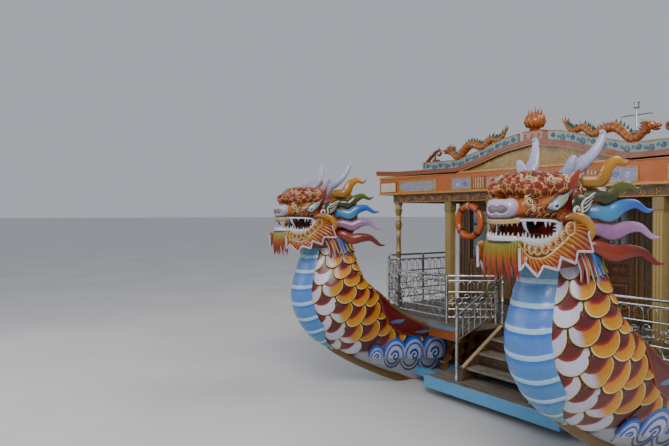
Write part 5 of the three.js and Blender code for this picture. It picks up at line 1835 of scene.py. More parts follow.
def deck():
    """The deck's planks, its painted edges and beams, and the wells' coamings."""
    planks = Shape()
    for low, high in zip(STRIPS, STRIPS[1:]):
        count = round((high - low) / 0.132)
        for k in range(count):
            y0, y1 = lerp(low, high, k / count) + 0.0015, lerp(low, high, (k + 1) / count) - 0.0015
            for start, end in deck_spans(low, high):
                joints = (-4.1 + 0.9 * random.random(), -0.6 + 1.2 * random.random(), 2.7)
                cuts = [start, *[x for x in joints if start + 1 < x < end - 1], end]
                for x0, x1 in zip(cuts, cuts[1:]):
                    base = len(planks.points)
                    planks.box(
                        (x0 + 0.001, y0, DECK_LOW), (x1 - 0.001, y1, 1.0102 - 0.0015 * random.random()),
                        0.004,
                    )
                    if x1 == 5.4:
                        for p in planks.points[base:]:
                            if p.x > (x0 + x1) / 2:
                                p.x += deck_end(p.y) - 5.4
    planks.make("deck_planks", "deck", slot="deck_boards", replaces=["deck"])
    edge = Shape()
    edge.paint("5f7d98")
    for way in (1, -1):
        beam(edge, (5.396, way * 0.665), (5.396, way * 1.355), 0.955, 1.006, 0.03)
        beam(edge, (5.28, way * 2.34), (4.765, way * 3.235), 0.94, 1.006, 0.03)
    for way in (1, -1):
        edge.paint("8e4a0c")
        beam(edge, (5.39, way * 0.665), (5.39, way * 1.355), 0.82, 0.955, 0.03)
        beam(edge, (5.262, way * 2.6), (4.77, way * 3.2), 0.86, 0.945, 0.03)
        for k in range(58):
            edge.paint("84140c" if k % 2 else "b5860e")
            x = -6.8 + k * 0.2
            if x < 4.7:
                beam(edge, (x, way * 3.228), (min(x + 0.199, 4.765), way * 3.228), 0.93, 1.0, 0.022, 0.003)
    edge.paint("6b4a2c")
    for x in (-6.3, -4.3, -2.1, 0.1, 2.3, 4.3):
        edge.box((x - 0.05, -1.33, 0.72), (x + 0.05, 1.33, 0.95), 0.006)
        for way in (1, -1):
            low, high = sorted((way * 2.6, way * 3.2))
            edge.box((x - 0.05, low, 0.895), (x + 0.05, high, 0.95), 0.006)
    edge.paint("5f7d98")
    edge.box((-6.82, -3.22, 0.93), (-6.795, 3.22, 1.004), 0.004)
    edge.make("deck_edges", "paint", slot="deck_boards")
    coaming = Shape().paint("7d5a34")
    for way in (1, -1):
        for y in (-0.335, 0.335):
            beam(coaming, (-6.15, way * HULL_Y + y), (-4.95, way * HULL_Y + y), 0.955, 1.009, 0.01, 0.002)
    coaming.make("well_coamings", "paint", slot="deck_boards")


def platform():
    """The low boarding platform on its light blue beams."""
    boards = Shape()
    for k in range(7):
        x = 4.645 + k * 0.1365
        boards.box(
            (x, -1.16 + 0.006 * random.random(), 0.25), (x + 0.132, 1.16 - 0.006 * random.random(), 0.2875),
            0.005,
        )
    boards.box((5.601, -1.16, 0.25), (5.638, 1.16, 0.3), 0.005)
    boards.make("platform_boards", "platform", slot="platform_paint", replaces=["boarding_platform"])
    beams = Shape().paint("5aa0cf")
    beams.box((5.565, -1.165, 0.12), (5.64, 1.165, 0.249), 0.006)
    beams.box((5.632, -1.165, 0.245), (5.642, 1.165, 0.292), 0.003)
    for x in (4.64, 5.2):
        beams.box((x, -1.83, 0.12), (x + 0.09, 1.83, 0.249), 0.008)
    beams.paint("4b3a2a")
    for y in (-1.12, -0.4, 0.4, 1.12):
        beams.box((4.7, y - 0.04, 0.17), (5.57, y + 0.04, 0.249), 0.006)
    beams.make("platform_beams", "paint", slot="platform_paint")


def stair():
    """The stair from the platform up to the deck."""
    wood, treads = Shape(), Shape()
    outline = ((5.4, 0.289), (5.4, 0.4775), (4.59, 0.99), (4.59, 0.68), (5.14, 0.289))
    for y in (-0.64, 0.6):
        wood.paint("5d3a1e")
        prism(wood, outline, lambda a, b, c: Vector((a, y + 0.04 - c, b)), 0, 0.04)
        wood.paint("c9b48a")
        edge = [(5.4, 0.4775), (4.59, 0.99)]
        strip(wood, edge, lambda a, b, c: Vector((a, y + 0.045 - c, b)), -0.012, 0.006, (-0.005, 0.05))
    for i in (1, 2, 3):
        z, front = 0.3 + i * 0.1775, 5.35 - (i - 1) * 0.2567
        for k in (0, 1):
            x = front - 0.14 * k
            treads.box((x - 0.134, -0.6, z - 0.04), (x, 0.6, z - 0.001), 0.006)
        wood.paint("3d2a1c")
        wood.box((front - 0.272, -0.6, z - 0.04), (front - 0.262, 0.6, min(z + 0.13, 0.97)), 0.002)
    wood.make("stair_stringers", "paint", slot="deck_boards")
    treads.make("stair_treads", "platform", slot="deck_boards", replaces=["stair"])


def bitts():
    """The mooring bitts."""
    for side, way in SIDES:
        shape = Shape().paint("7e8791")
        profile = (
            (0.001, 0), (0.059, 0), (0.059, 0.018), (0.042, 0.03), (0.04, 0.12), (0.045, 0.14),
            (0.058, 0.15), (0.059, 0.175), (0.05, 0.189), (0.001, 0.1895),
        )
        shape.lathe(profile, (5.08, way * 1.43, 1.0105), sides=20)
        shape.make(f"bitt_post_{side}", "paint", slot="rail_steel", replaces=[f"bitt_{side}"])


# Rails

def pipe(shape, path, radius=0.019, sides=8):
    shape.tube(path, radius, sides)


def on_line(a, b, foot):
    """Places in the upright plane through a and b: (run along it, height, depth)."""
    a, b = Vector((*a, 0)), Vector((*b, 0))
    ahead = (b - a).normalized()
    side = ahead.cross(Vector((0, 0, 1)))
    return lambda u, v, w=0.0: a + ahead * u + side * w + Vector((0, 0, foot + v))


def rail_post(shape, spot, foot, height):
    """A turned post on a round foot."""
    profile = (
        (0.001, 0), (0.04, 0), (0.04, 0.012), (0.024, 0.02), (0.024, height - 0.05), (0.028, height - 0.045),
        (0.028, height - 0.035), (0.022, height - 0.03), (0.03, height - 0.01), (0.026, height + 0.012),
        (0.001, height + 0.0185),
    )
    shape.lathe(profile, (*spot, foot), sides=12)


def rail_panel(shape, a, b, foot, height):
    """Bars, a row of hoops, a scroll lattice and a row of rings between two posts."""
    place = on_line(a, b, foot)
    length = (Vector(a) - Vector(b)).length
    for part in (1, 0.9, 0.66, 0.3, 0.13):
        pipe(
            shape, [place(0, part * height), place(length, part * height)], 0.0185 if part == 1 else 0.013,
            8,
        )
    count = max(2, round(length / 0.15))
    wide = length / count
    for k in range(count):
        middle, half = (k + 0.5) * wide, wide * 0.32
        top = 0.88 * height - half
        path = arch(middle, half, top, half, 0.66 * height)
        pipe(shape, [place(*p) for p in path], 0.0075, 6)
    size = 0.085 * height
    rings = max(2, round(length / (2 * size + 0.012)))
    for k in range(rings):
        middle = (k + 0.5) * length / rings
        pipe(shape, [place(*p) for p in circle((middle, 0.215 * height), size, 14)], 0.0065, 6)
    cells = max(1, round(length / 0.36))
    wide, tall = length / cells, 0.36 * height
    for k in range(cells):
        middle, level = (k + 0.5) * wide, 0.48 * height
        pipe(shape, [place(*p) for p in circle((middle, level), 0.05, 14)], 0.008, 6)
        for u, v in ((1, 1), (-1, 1), (1, -1), (-1, -1)):
            centre = (middle + u * wide * 0.31, level + v * tall * 0.2)
            scroll = spiral(centre, tall * 0.2, 1.1, math.pi * (0.5 - 0.5 * u), v, 12)
            start = (middle + u * 0.035, level + v * 0.035)
            pipe(shape, [place(*p) for p in [start, *scroll]], 0.0065, 6)
        for u in (-0.5, 0.5):
            if -0.5 < (middle + u * wide) / length - 0.5 < 0.5:
                pipe(
                    shape, [place(middle + u * wide, 0.3 * height), place(middle + u * wide, 0.66 * height)],
                    0.008, 6,
                )


def rail_run(shape, posts, height):
    """Posts, and a panel between each two."""
    for spot in posts:
        rail_post(shape, spot, DECK, height)
    for a, b in zip(posts, posts[1:]):
        rail_panel(shape, a, b, DECK, height)


def rails():
    """The porch's rails and the aft deck's."""
    shape = Shape()
    rail_run(shape, ((3.03, 3.17), (3.85, 3.17), (4.68, 3.17), (5.2, 2.25)), 0.9)
    rail_run(shape, ((5.2, 2.25), (5.2, 1.14), (4.62, 0.7)), 0.715)
    shape.both("porch_rails", "steel", "rail_steel", replaces=["porch_rail"])
    aft = Shape()
    rail_run(aft, (
        (-4.62, 3.17), (-5.68, 3.17), (-6.74, 3.17), (-6.74, 1.05), (-6.74, -1.05), (-6.74, -3.17),
        (-5.68, -3.17), (-4.62, -3.17),
    ), 0.9)
    aft.make("aft_rails", "steel", slot="rail_steel", replaces=["aft_rail"])


NEWEL = (
    (0.001, 0), (0.032, 0), (0.032, 0.06), (0.022, 0.075), (0.022, 0.2), (0.028, 0.22), (0.022, 0.24),
    (0.024, 0.45), (0.03, 0.47), (0.022, 0.49), (0.026, 0.62), (0.03, 0.7), (0.021, 0.76), (0.03, 0.79),
    (0.021, 0.81), (0.03, 0.84), (0.021, 0.86), (0.021, 0.94), (0.033, 0.96), (0.033, 0.975), (0.02, 0.985),
    (0.027, 1.0), (0.001, 1.0),
)


def stair_rails():
    """The handrails beside the stair."""
    shape = Shape()
    y = 0.638
    for x, foot, tall in ((5.49, 0.2885, 1.079), (4.54, DECK, 0.729)):
        shape.lathe([(r, h * tall) for r, h in NEWEL], (x, y, foot), sides=14)
    bars = (
        ((5.49, 1.208), (4.54, 1.7)), ((5.49, 1.13), (4.54, 1.56)), ((5.49, 0.86), (4.54, 1.24)),
    )
    for k, (low, high) in enumerate(bars):
        pipe(shape, [(low[0], y, low[1]), (high[0], y, high[1])], 0.0195 if k == 0 else 0.012, 10)
    nose_end = [(5.49 + 0.012 + 0.05 * t, y, 1.2 + 0.035 * math.sin(2.2 * t)) for t in (0, 0.15, 0.3, 0.4)]
    pipe(shape, nose_end, 0.019, 10)
    place = on_line((5.49, y), (4.54, y), 0)
    for k in range(1, 8):
        u = k * 0.95 / 8
        pipe(shape, [place(u, 0.86 + 0.4 * u), place(u, 1.13 + 0.4526 * u)], 0.0075, 6)
        pipe(shape, [place(*p) for p in circle((u, 1.0 + 0.43 * u), 0.03, 12)], 0.006, 6)
    shape.both("stair_handrails", "steel", "rail_steel", replaces=["stair_rail"])


# Porch

GOLD_POST = (
    (0.001, 0, "g"), (0.074, 0, "g"), (0.074, 0.11, "g"), (0.066, 0.125, "g"), (0.05, 0.15, "g"),
    (0.064, 0.2, "r"), (0.064, 0.235, "r"), (0.044, 0.27, "g"), (0.041, 0.42, "g"), (0.046, 0.95, "g"),
    (0.056, 0.97, "s"), (0.056, 1.0, "s"), (0.044, 1.015, "g"), (0.041, 1.2, "g"), (0.05, 1.28, "s"),
    (0.05, 1.295, "s"), (0.043, 1.31, "s"), (0.05, 1.325, "s"), (0.05, 1.34, "s"), (0.042, 1.355, "g"),
    (0.058, 1.42, "g"), (0.062, 1.47, "g"), (0.042, 1.52, "g"), (0.052, 1.54, "s"), (0.052, 1.56, "s"),
    (0.044, 1.57, "s"), (0.052, 1.585, "s"), (0.052, 1.605, "s"), (0.043, 1.62, "g"), (0.066, 1.7, "g"),
    (0.066, 1.735, "g"), (0.05, 1.75, "s"), (0.06, 1.77, "s"), (0.06, 1.8, "s"), (0.072, 1.82, "g"),
    (0.072, 1.853, "g"), (0.001, 1.853, "g"),
)
POST_CODES = {"g": "8a6624", "s": "a39c86", "r": "6e2f10"}


def porch_posts():
    """The four turned posts and the two square ones."""
    gold, square = Shape(), Shape()
    for y in (-3.06, -0.88, 0.88, 3.06):
        paints = [rgb(POST_CODES[code]) for _, _, code in GOLD_POST]
        gold.lathe([(r, z) for r, z, _ in GOLD_POST], (4.54, y, DECK), sides=20, paints=paints)
    for y in (-1.74, 1.74):
        square.paint("927a40").box((4.477, y - 0.063, DECK), (4.603, y + 0.063, 2.862), 0.006)
        square.paint("86703a")
        for z0, z1 in ((DECK, DECK + 0.16), (2.7, 2.862)):
            square.box((4.468, y - 0.072, z0), (4.612, y + 0.072, z1), 0.008)
        square.paint("a88f55")
        for k in (-1, 0, 1):
            for x in (4.472, 4.603):
                square.box((x, y + k * 0.04 - 0.014, 1.2), (x + 0.006, y + k * 0.04 + 0.014, 2.67), 0.002)
            for side in (y - 0.069, y + 0.063):
                square.box(
                    (4.54 + k * 0.04 - 0.014, side, 1.2), (4.54 + k * 0.04 + 0.014, side + 0.006, 2.67),
                    0.002,
                )
    gold.make("turned_posts", "gloss", slot="post_paint", replaces=["porch_frame"])
    square.make("square_posts", "paint", slot="post_paint")


def frieze():
    """The head beams with their carved scrolls and leaves."""
    beams, carving = Shape().paint("5f3c10"), Shape().paint("9a6c1c")
    beams.box((4.468, -3.135, 2.861), (4.605, 3.135, 3.168), 0.006)
    for way in (1, -1):
        low, high = sorted((way * 2.99, way * 3.13))
        beams.box((2.962, low, 2.861), (4.467, high, 3.168), 0.006)
    place = facing(4.605)
    for edge in (2.867, 2.993):
        slab(carving, place, (-3.13, 3.13), (edge, edge + 0.012), (0, 0.01))
    count = 30
    for k in range(count):
        middle = -3.03 + 6.06 * (k + 0.5) / count
        way = 1 if k % 2 else -1
        for turn in (1, -1):
            centre, start = (middle + turn * 0.042, 2.937 + way * turn * 0.01), math.pi / 2 * (1 - turn)
            curl(carving, place, centre, 0.042, 1.35, start, way, 0.014, 0.009)
        leaf = [(middle, 2.885), (middle + 0.02, 2.93), (middle - 0.008, 2.985)]
        ribbon(carving, place, curve(leaf, 4), thin_ends(9, 0.024), 0.011)
    for way in (1, -1):
        side = facing_out(3.13, way)
        for k in range(8):
            middle = (-3.05 - 0.18 * k) * way
            ribbon(carving, side, spiral((middle, 2.94), 0.05, 1.6, 0, 1, 12), 0.014, 0.009)
    beams.make("head_beams", "paint", slot="post_paint")
    carving.make("frieze_carving", "gloss", slot="post_paint")


# Roof

ROOF_ROWS = ((0, 3.71), (0.5, 3.64), (1.0, 3.5), (1.45, 3.39), (2.9, 3.41), (3.5, 3.45))
ROOF_X = (-5.3, 4.7)


def roof_z(y):
    """The roof's height at y."""
    y = abs(y)
    for (y0, z0), (y1, z1) in zip(ROOF_ROWS, ROOF_ROWS[1:]):
        if y <= y1:
            return lerp(z0, z1, (y - y0) / (y1 - y0))
    return ROOF_ROWS[-1][1]


def roof_path(low, high, steps=24):
    """Points (y, z) along the roof's edge."""
    return [(lerp(low, high, i / steps), roof_z(lerp(low, high, i / steps))) for i in range(steps + 1)]


def roof():
    """The corrugated sheets and the caps on their ridge and bends."""
    shape = Shape()
    rows = 4 * 84
    xs = [lerp(ROOF_X[0], ROOF_X[1], i / rows) for i in range(rows + 1)]
    ys = sorted([-y for y, _ in ROOF_ROWS[1:]] + [y for y, _ in ROOF_ROWS] + [-2.2, 2.2])
    sheet(shape, lambda a, b, lift: Vector((b, a, roof_z(a) + lift)), ys, xs,
          lambda a, b: -0.012 + 0.011 * math.cos(TURN * (b - ROOF_X[0]) / (10 / 84)), under=-0.06)
    shape.make("roof_sheets", "roof", slot="roof_sheet", replaces=["roof"], smooth=60)
    caps = Shape().paint("3f6b48")
    caps.tube([(-5.3, 0, 3.675), (4.6, 0, 3.675)], 0.06, 12, 1.6, (0, 0, 1))
    for y in (-1.45, 1.45):
        caps.box((-5.3, y - 0.05, 3.372), (4.6, y + 0.05, 3.4), 0.004)
    caps.make("ridge_caps", "paint", slot="roof_sheet")


def eaves():
    """The fascia's boards and trim."""
    boards, trim = Shape(), Shape()
    boards.paint("b3590c")
    for x0, x1 in ((4.65, 4.69), (-5.29, -5.25)):
        boards.box((x0, -3.42, 3.01), (x1, 3.42, 3.328), 0.004)
    for y0, y1 in ((3.378, 3.418), (-3.418, -3.378)):
        boards.box((-5.25, y0, 3.01), (4.65, y1, 3.328), 0.004)
    boards.paint("6e4214")
    for x in (-4.53, -2.1, 0.4, 2.93, 4.54):
        boards.box((x - 0.03, -3.38, 3.171), (x + 0.03, 3.38, 3.329), 0.004)
    trim.paint("b87714")
    front, back = facing(4.69), facing_aft(-5.29)
    for place in (front, back):
        slab(trim, place, (-3.42, 3.42), (3.005, 3.04), (-0.01, 0.018))
        slab(trim, place, (-3.42, 3.42), (3.3, 3.332), (-0.01, 0.014))
        for way in (1, -1):
            path = roof_path(0, 3.5)
            if way < 0:
                path = [(-a, b) for a, b in path[::-1]]
            trim.paint("8e3f10")
            strip(trim, path, place, -0.062, 0.004, (-0.02, 0.026))
            trim.paint("b5741c")
            strip(trim, path, place, -0.085, -0.062, (-0.02, 0.014))
    for way in (1, -1):
        side = facing_out(3.418, way)
        span = (-4.69, 5.29) if way > 0 else (-5.29, 4.69)
        slab(trim, side, span, (3.005, 3.04), (-0.01, 0.014))
    boards.make("fascia_boards", "paint", slot="fascia_paint", replaces=["eaves"])
    trim.make("fascia_trim", "gloss", slot="fascia_paint")
    fascia_panels(front)


FASCIA_PANELS = (
    # from and to, across the boat; the panel's colour; its border's colour
    (2.94, 3.39, "c2bca8", "8e3f10"),
    (1.9, 2.86, "8a8798", "a8842a"),
    (1.13, 1.55, "7f7ca0", "a8842a"),
    (0.86, 1.1, "b5a06a", "8e3f10"),
    (0.53, 0.84, "a9705a", "8e3f10"),
    (-0.5, 0.5, "b5690e", "8e3f10"),
)


def fascia_panels(place):
    """The coloured panels on the front fascia, and what is painted on them."""
    panels, marks = Shape(), Shape()
    for low, high, code, border in FASCIA_PANELS:
        for way in ((1, -1) if low > 0 else (1,)):
            a = sorted((way * low, way * high))
            panels.paint(border)
            frame_of(panels, place, a, (3.045, 3.235), 0.014, (0, 0.014))
            panels.paint(code)
            slab(panels, place, (a[0] + 0.014, a[1] - 0.014), (3.059, 3.221), (0, 0.008))
    front = raised(place, 0.008)
    for way in (1, -1):
        for k, (y, z, r) in enumerate(((1.26, 3.14, 0.045), (1.42, 3.13, 0.04))):
            marks.paint("b9bcc8" if k % 2 else "3a5a94")
            curl(marks, front, (way * y, z), r, 1.6, 0.6 * k, way, 0.013, 0.006)
        marks.paint("a8842a")
        for y, z in ((1.9, 3.045), (2.86, 3.045), (1.9, 3.235), (2.86, 3.235)):
            for reach in (0.16, 0.11, 0.06):
                inward, down = (1 if y < 2 else -1), (1 if z < 3.1 else -1)
                bend = [
                    (way * (y + inward * reach * (1 - t)), z + down * (0.012 + 0.3 * reach * t))
                    for t in (0, 0.35, 0.7, 1)
                ]
                ribbon(marks, front, facing_way(bend, way * inward * down), 0.014, 0.006)
        marks.paint("8e3f10")
        for k in range(4):
            y = way * (0.9 + 0.05 * k)
            slab(marks, front, tuple(sorted((y, y + way * 0.02))), (3.065, 3.215), (0, 0.006))
        marks.paint("7a1c14")
        flower(marks, front, (way * 0.685, 3.14), 0.055)
    marks.paint("8c3312")
    flower(marks, front, (0, 3.14), 0.07)
    for way in (1, -1):
        curl(marks, front, (way * 0.25, 3.14), 0.06, 1.7, 0, way, 0.014, 0.007)
    panels.make("fascia_panels", "gloss", slot="fascia_paint")
    marks.make("fascia_marks", "gloss", slot="fascia_paint")


def flower(shape, place, centre, radius):
    """Six petals round a middle."""
    for k in range(6):
        angle = TURN * k / 6
        spot = (centre[0] + 0.58 * radius * math.cos(angle), centre[1] + 0.58 * radius * math.sin(angle))
        disc(shape, place, spot, radius * 0.36, 0.008, around=12, rings=3)
    disc(shape, place, centre, radius * 0.28, 0.012, around=12, rings=3)


def gables():
    """The front and aft pediments with their lines, beads and scrolls."""
    face = 0.05
    for name, place in (("front", facing(4.59)), ("aft", facing_aft(-5.19))):
        shape, lines = Shape().paint("8a6c14"), Shape()
        outline = [(-1.45, 3.311), (1.45, 3.311)] + [
            (y, roof_z(y) - 0.062) for y in (1.45, 1.0, 0.5, 0, -0.5, -1.0, -1.45)
        ]
        prism(shape, outline, place, 0, face)
        shape.make(f"{name}_pediment", "gloss", slot="gable_paint", replaces=[f"{name}_gable"])
        front = raised(place, face)
        lines.paint("a3560e")
        slab(lines, front, (-1.42, 1.42), (3.325, 3.337), (0, 0.01))
        for way in (1, -1):
            path = [(way * a, b - 0.075) for a, b in roof_path(0.0, 1.2, 10)]
            strip(lines, facing_way(path, way), front, -0.014, 0.0, (0, 0.01))
        lines.paint("b5923a")
        for k in range(21):
            disc(lines, front, (-1.3 + 0.13 * k, 3.352), 0.011, 0.008, around=10, rings=2)
        for way in (1, -1):
            curl(lines, front, (way * 0.5, 3.45), 0.07, 1.8, 0, way, 0.014, 0.008, 14)
            curl(lines, front, (way * 0.82, 3.41), 0.045, 1.6, 0.5, -way, 0.012, 0.008, 14)
        lines.make(f"{name}_pediment_lines", "gloss", slot="gable_paint")


# Crest, roof dragons and orb

def crest_band():
    """The bands along the roof's front edge, with a row of spirals on both faces."""
    band, marks = Shape().paint("84a094"), Shape()
    path = [(a, b + 0.002) for a, b in roof_path(0.26, 2.28, 30)]
    place = facing(4.61)
    strip(band, path, place, 0, 0.125, (0, 0.06))
    band.paint("a8641c")
    strip(band, path, place, 0.118, 0.132, (-0.004, 0.064))
    marks.paint("1c3f74")

    def front(a, b, c):
        return Vector((4.67 + c, a, roof_z(a) + 0.06 + b))

    def back(a, b, c):
        return Vector((4.61 - c, a, roof_z(a) + 0.06 + b))

    for k in range(13):
        y = 0.34 + k * 0.15
        for place_on, order in ((front, 1), (back, -1)):
            size = 0.046 if k % 2 else 0.036
            rise = -0.008 if k % 2 else 0.012
            ribbon(marks, place_on, spiral((y, rise), size, 1.7, math.pi, 1, 14)[::order], 0.015, 0.007)
            small = spiral((y + 0.082, -rise), 0.026, 1.2, 0, 1, 12)
            ribbon(marks, place_on, small[::order], 0.012, 0.006)
    band.both("crest_band", "gloss", "crest_paint", replaces=["crest"])
    marks.both("crest_spirals", "gloss", "crest_paint")


CREST_TOP = 0.13
DRAGON = (
    # across, lift above the band, radius
    (0.5, 0.1, 0.014), (0.555, 0.045, 0.026), (0.63, 0.022, 0.034), (0.7, 0.05, 0.042), (0.77, 0.09, 0.048),
    (0.85, 0.055, 0.05), (0.93, 0.03, 0.054), (1.02, 0.075, 0.058), (1.12, 0.135, 0.062),
    (1.22, 0.155, 0.062), (1.32, 0.115, 0.06), (1.41, 0.05, 0.056), (1.5, 0.055, 0.05),
    (1.58, 0.12, 0.046), (1.64, 0.165, 0.044),
)


def roof_dragon():
    """The dragon on each band: a waved body with spikes, legs, a tail and a head."""
    body, spikes = Shape(), Shape()

    def spot(y, lift):
        """A place on the band's top, lifted."""
        return (4.64, y, roof_z(y) + CREST_TOP + lift)

    rows = curve(DRAGON, 5)
    path = [Vector(spot(y, lift)) for y, lift, _ in rows]
    count = len(path)
    paints = [lerp(rgb("8a3208"), rgb("b5740e"), 0.5 + 0.5 * math.sin(i * 2.1)) for i in range(count)]
    body.tube(
        path, [r * (1.22 + 0.06 * (i % 2)) for i, (_, _, r) in enumerate(rows)], 12, 0.8, (1, 0, 0), paints,
    )
    for i in range(3, count - 2, 2):
        ahead = (path[i + 1] - path[i - 1]).normalized()
        up = Vector((1, 0, 0)).cross(ahead)
        up = up if up.z > 0 else -up
        root = path[i] + up * rows[i][2] * 0.8
        tip = root + up * 0.062 - ahead * 0.03
        spikes.paint("2f6a5a" if i % 4 else "a03a0c")
        spikes.tube([root, lerp(root, tip, 0.5), tip], [0.026, 0.018, 0.001], 6, 0.4, (1, 0, 0))
    for y, lift, bend in ((0.9, 0.02, 0.05), (1.38, 0.05, 0.06)):
        for x in (-0.045, 0.045):
            foot = Vector(spot(y + bend, 0.0)) + Vector((x * 0.5, 0, 0.01))
            knee = Vector(spot(y + bend * 0.2, lift + 0.04)) + Vector((x, 0, 0))
            body.paint("8e3a0c").tube([spot(y, lift), knee, foot], [0.03, 0.025, 0.016], 7)
    for k in range(3):
        y = 0.47 + 0.035 * k
        spikes.paint("b5660e").tube(
            [spot(0.52, 0.07), spot(y, 0.13), spot(y - 0.012 + 0.02 * k, 0.185 + 0.02 * (k == 1))],
            [0.02, 0.022, 0.002], 8, 0.4, (1, 0, 0),
        )
    head = Vector(spot(1.66, 0.17))
    body.paint("9a4a0c").ball(head + Vector((0, 0.015, 0.01)), (0.05, 0.07, 0.052))
    body.ball(head + Vector((0, 0.085, 0.0)), (0.036, 0.055, 0.026))
    body.paint("6e1808").ball(head + Vector((0, 0.075, -0.042)), (0.03, 0.05, 0.014))
    for x in (-1, 1):
        spikes.paint("e6e4ee").ball(head + Vector((x * 0.034, 0.04, 0.03)), (0.013, 0.015, 0.013), 6, 8)
        horn = [head + Vector((x * 0.02, -0.01, 0.05)), head + Vector((x * 0.035, -0.06, 0.09)),
                head + Vector((x * 0.04, -0.11, 0.085))]
        spikes.paint("d9c48a").tube(horn, [0.012, 0.009, 0.001], 7)
        for k in range(4):
            root = head + Vector((x * 0.045, -0.02, 0.03 - 0.025 * k))
            tip = root + Vector((x * 0.012, -0.085, 0.02 - 0.02 * k))
            spikes.paint("a03a0c" if k % 2 else "8a4a0c").tube(
                [root, lerp(root, tip, 0.5), tip], [0.022, 0.024, 0.001], 7, 0.5,
            )
        whisker = [
            head + Vector((x * 0.025, 0.12, 0.0)), head + Vector((x * 0.04, 0.15, 0.03)),
            head + Vector((x * 0.04, 0.17, 0.07)),
        ]
        spikes.paint("d9c48a").tube(whisker, [0.006, 0.005, 0.001], 6)
    body.both("roof_dragon", "gloss", "crest_paint", smooth=60)
    spikes.both("roof_dragon_spikes", "gloss", "crest_paint")


CORNER_HOOK = (
    (2.24, 3.47), (2.17, 3.55), (2.06, 3.63), (1.95, 3.7), (1.875, 3.705), (1.86, 3.655), (1.9, 3.625),
    (1.935, 3.65),
)


def corner_curl():
    """The scroll at each band's outer end."""
    shape = Shape().paint("7a3a10")

    def spot(y, z):
        return (4.64, y, z)

    main = curve([spot(*p) for p in CORNER_HOOK], 4)
    count = len(main)
    shape.tube(main, [0.038 * (1 - 0.55 * i / count) for i in range(count)], 10, 0.8, (1, 0, 0))
    for y, z, r, way in ((2.13, 3.5, 0.045, 1), (2.0, 3.55, 0.05, -1), (1.92, 3.52, 0.04, 1)):
        loop = [spot(*p) for p in spiral((y, z), r, 1.3, 0.5, way, 12)]
        shape.tube(loop, 0.014, 7)
    for a, b in (((2.24, 3.43), (2.05, 3.53)), ((2.05, 3.43), (1.98, 3.64)), ((1.9, 3.44), (1.92, 3.56))):
        shape.tube([spot(*a), lerp(spot(*a), spot(*b), 0.5), spot(*b)], [0.022, 0.018, 0.012], 8)
    shape.paint("a8560e")
    for y, z in ((2.12, 3.62), (2.02, 3.69), (1.9, 3.735)):
        shape.tube([spot(y, z - 0.03), spot(y + 0.01, z), spot(y - 0.01, z + 0.03)], [0.018, 0.014, 0.001], 7)
    shape.both("corner_curl", "gloss", "crest_paint")


ORB_FLAMES = (
    # Columns: y, the root's and the tip's height from the ball's centre, and the lean.
    (-0.145, -0.04, 0.11, 0.014), (-0.1, 0.05, 0.19, 0.012), (0, 0.1, 0.228, 0.0), (0.1, 0.05, 0.19, -0.012),
    (0.145, -0.04, 0.11, -0.014), (-0.05, 0.1, 0.18, 0.01), (0.05, 0.1, 0.18, -0.01),
)


def orb():
    """The box with three niches, each a dark arch of painted shade, and the ball with ribs and flames on it.
    """
    box, ball = Shape().paint("a9705e"), Shape()
    box.box((4.552, -0.172, 3.69), (4.683, 0.172, 3.818), 0.006)
    place = facing(4.683)
    for y in (-0.115, 0, 0.115):
        niche = arch(y, 0.035, 3.765, 0.03, 3.72)
        # Each niche is a flat dark arch: painted shade in place of its depth.
        prism(box.paint("6b3226"), niche[::-1], place, -0.002, 0.003)
        ribbon(box.paint("c09a86"), place, niche, 0.012, 0.007)
    box.paint("b3591c").box((4.545, -0.18, 3.805), (4.69, 0.18, 3.822), 0.004)
    centre = Vector((4.62, 0, 3.945))
    profile = (
        (0.001, -0.125), (0.07, -0.122), (0.085, -0.105), (0.06, -0.09), (0.11, -0.07), (0.14, -0.02),
        (0.144, 0.01), (0.132, 0.055), (0.105, 0.095), (0.06, 0.125), (0.001, 0.14),
    )
    codes = "7a300c 7a300c a9560e 8c3a0c a84c0c b5600e b5600e a84c0c a9560e 9a400c 9a400c"
    ball.lathe(profile, centre, sides=24, paints=[rgb(code) for code in codes.split()])
    for k in range(12):
        angle = TURN * k / 12
        rib = [
            centre + Vector((r * math.cos(angle), r * math.sin(angle), z))
            for r, z in ((0.115, -0.07), (0.147, 0.0), (0.11, 0.09), (0.05, 0.13))
        ]
        ball.paint("b87a1c").tube(rib, [0.008, 0.012, 0.01, 0.004], 6)
    for y, low, high, lean in ORB_FLAMES:
        points = [
            (y * 0.86, low), (y, lerp(low, high, 0.35)), (y - lean, lerp(low, high, 0.7)),
            (y + lean * 0.6, high),
        ]
        path = curve([tuple(centre + Vector((0, a, b))) for a, b in points], 4)
        ball.paint("a8440c").tube(path, taper(path, 0.03, 0.8, 0.002), 8, 0.7, (1, 0, 0))
    box.make("orb_base", "gloss", slot="crest_paint")
    ball.make("flaming_orb", "gloss", slot="crest_paint", replaces=["orb"], smooth=60)


MAST_POLE = (
    # Columns, as in each profile: radius and height.
    (0.001, 3.7), (0.075, 3.7), (0.075, 3.716), (0.03, 3.74), (0.021, 3.76), (0.021, 4.0), (0.024, 4.01),
    (0.018, 4.02), (0.018, 4.4), (0.001, 4.4),
)
MAST_LAMP = (
    (0.001, 4.39), (0.05, 4.39), (0.054, 4.4), (0.054, 4.412), (0.04, 4.416), (0.04, 4.47), (0.05, 4.474),
    (0.05, 4.486), (0.02, 4.5), (0.001, 4.5),
)


def mast():
    """The light mast on the roof."""
    shape = Shape()
    x = 2.06
    shape.lathe(MAST_POLE, (x, 0, 0), sides=14)
    for z, half in ((4.28, 0.26), (4.02, 0.17)):
        pipe(shape, [(x, -half, z), (x, half, z)], 0.011)
        for y in (-half, half):
            shape.ball((x, y, z), (0.017, 0.017, 0.017), 6, 8)
    shape.lathe(MAST_LAMP, (x, 0, 0), sides=18)
    shape.make("light_mast_pole", "steel", slot="rail_steel", replaces=["light_mast"])


# Cabin walls, windows and doors

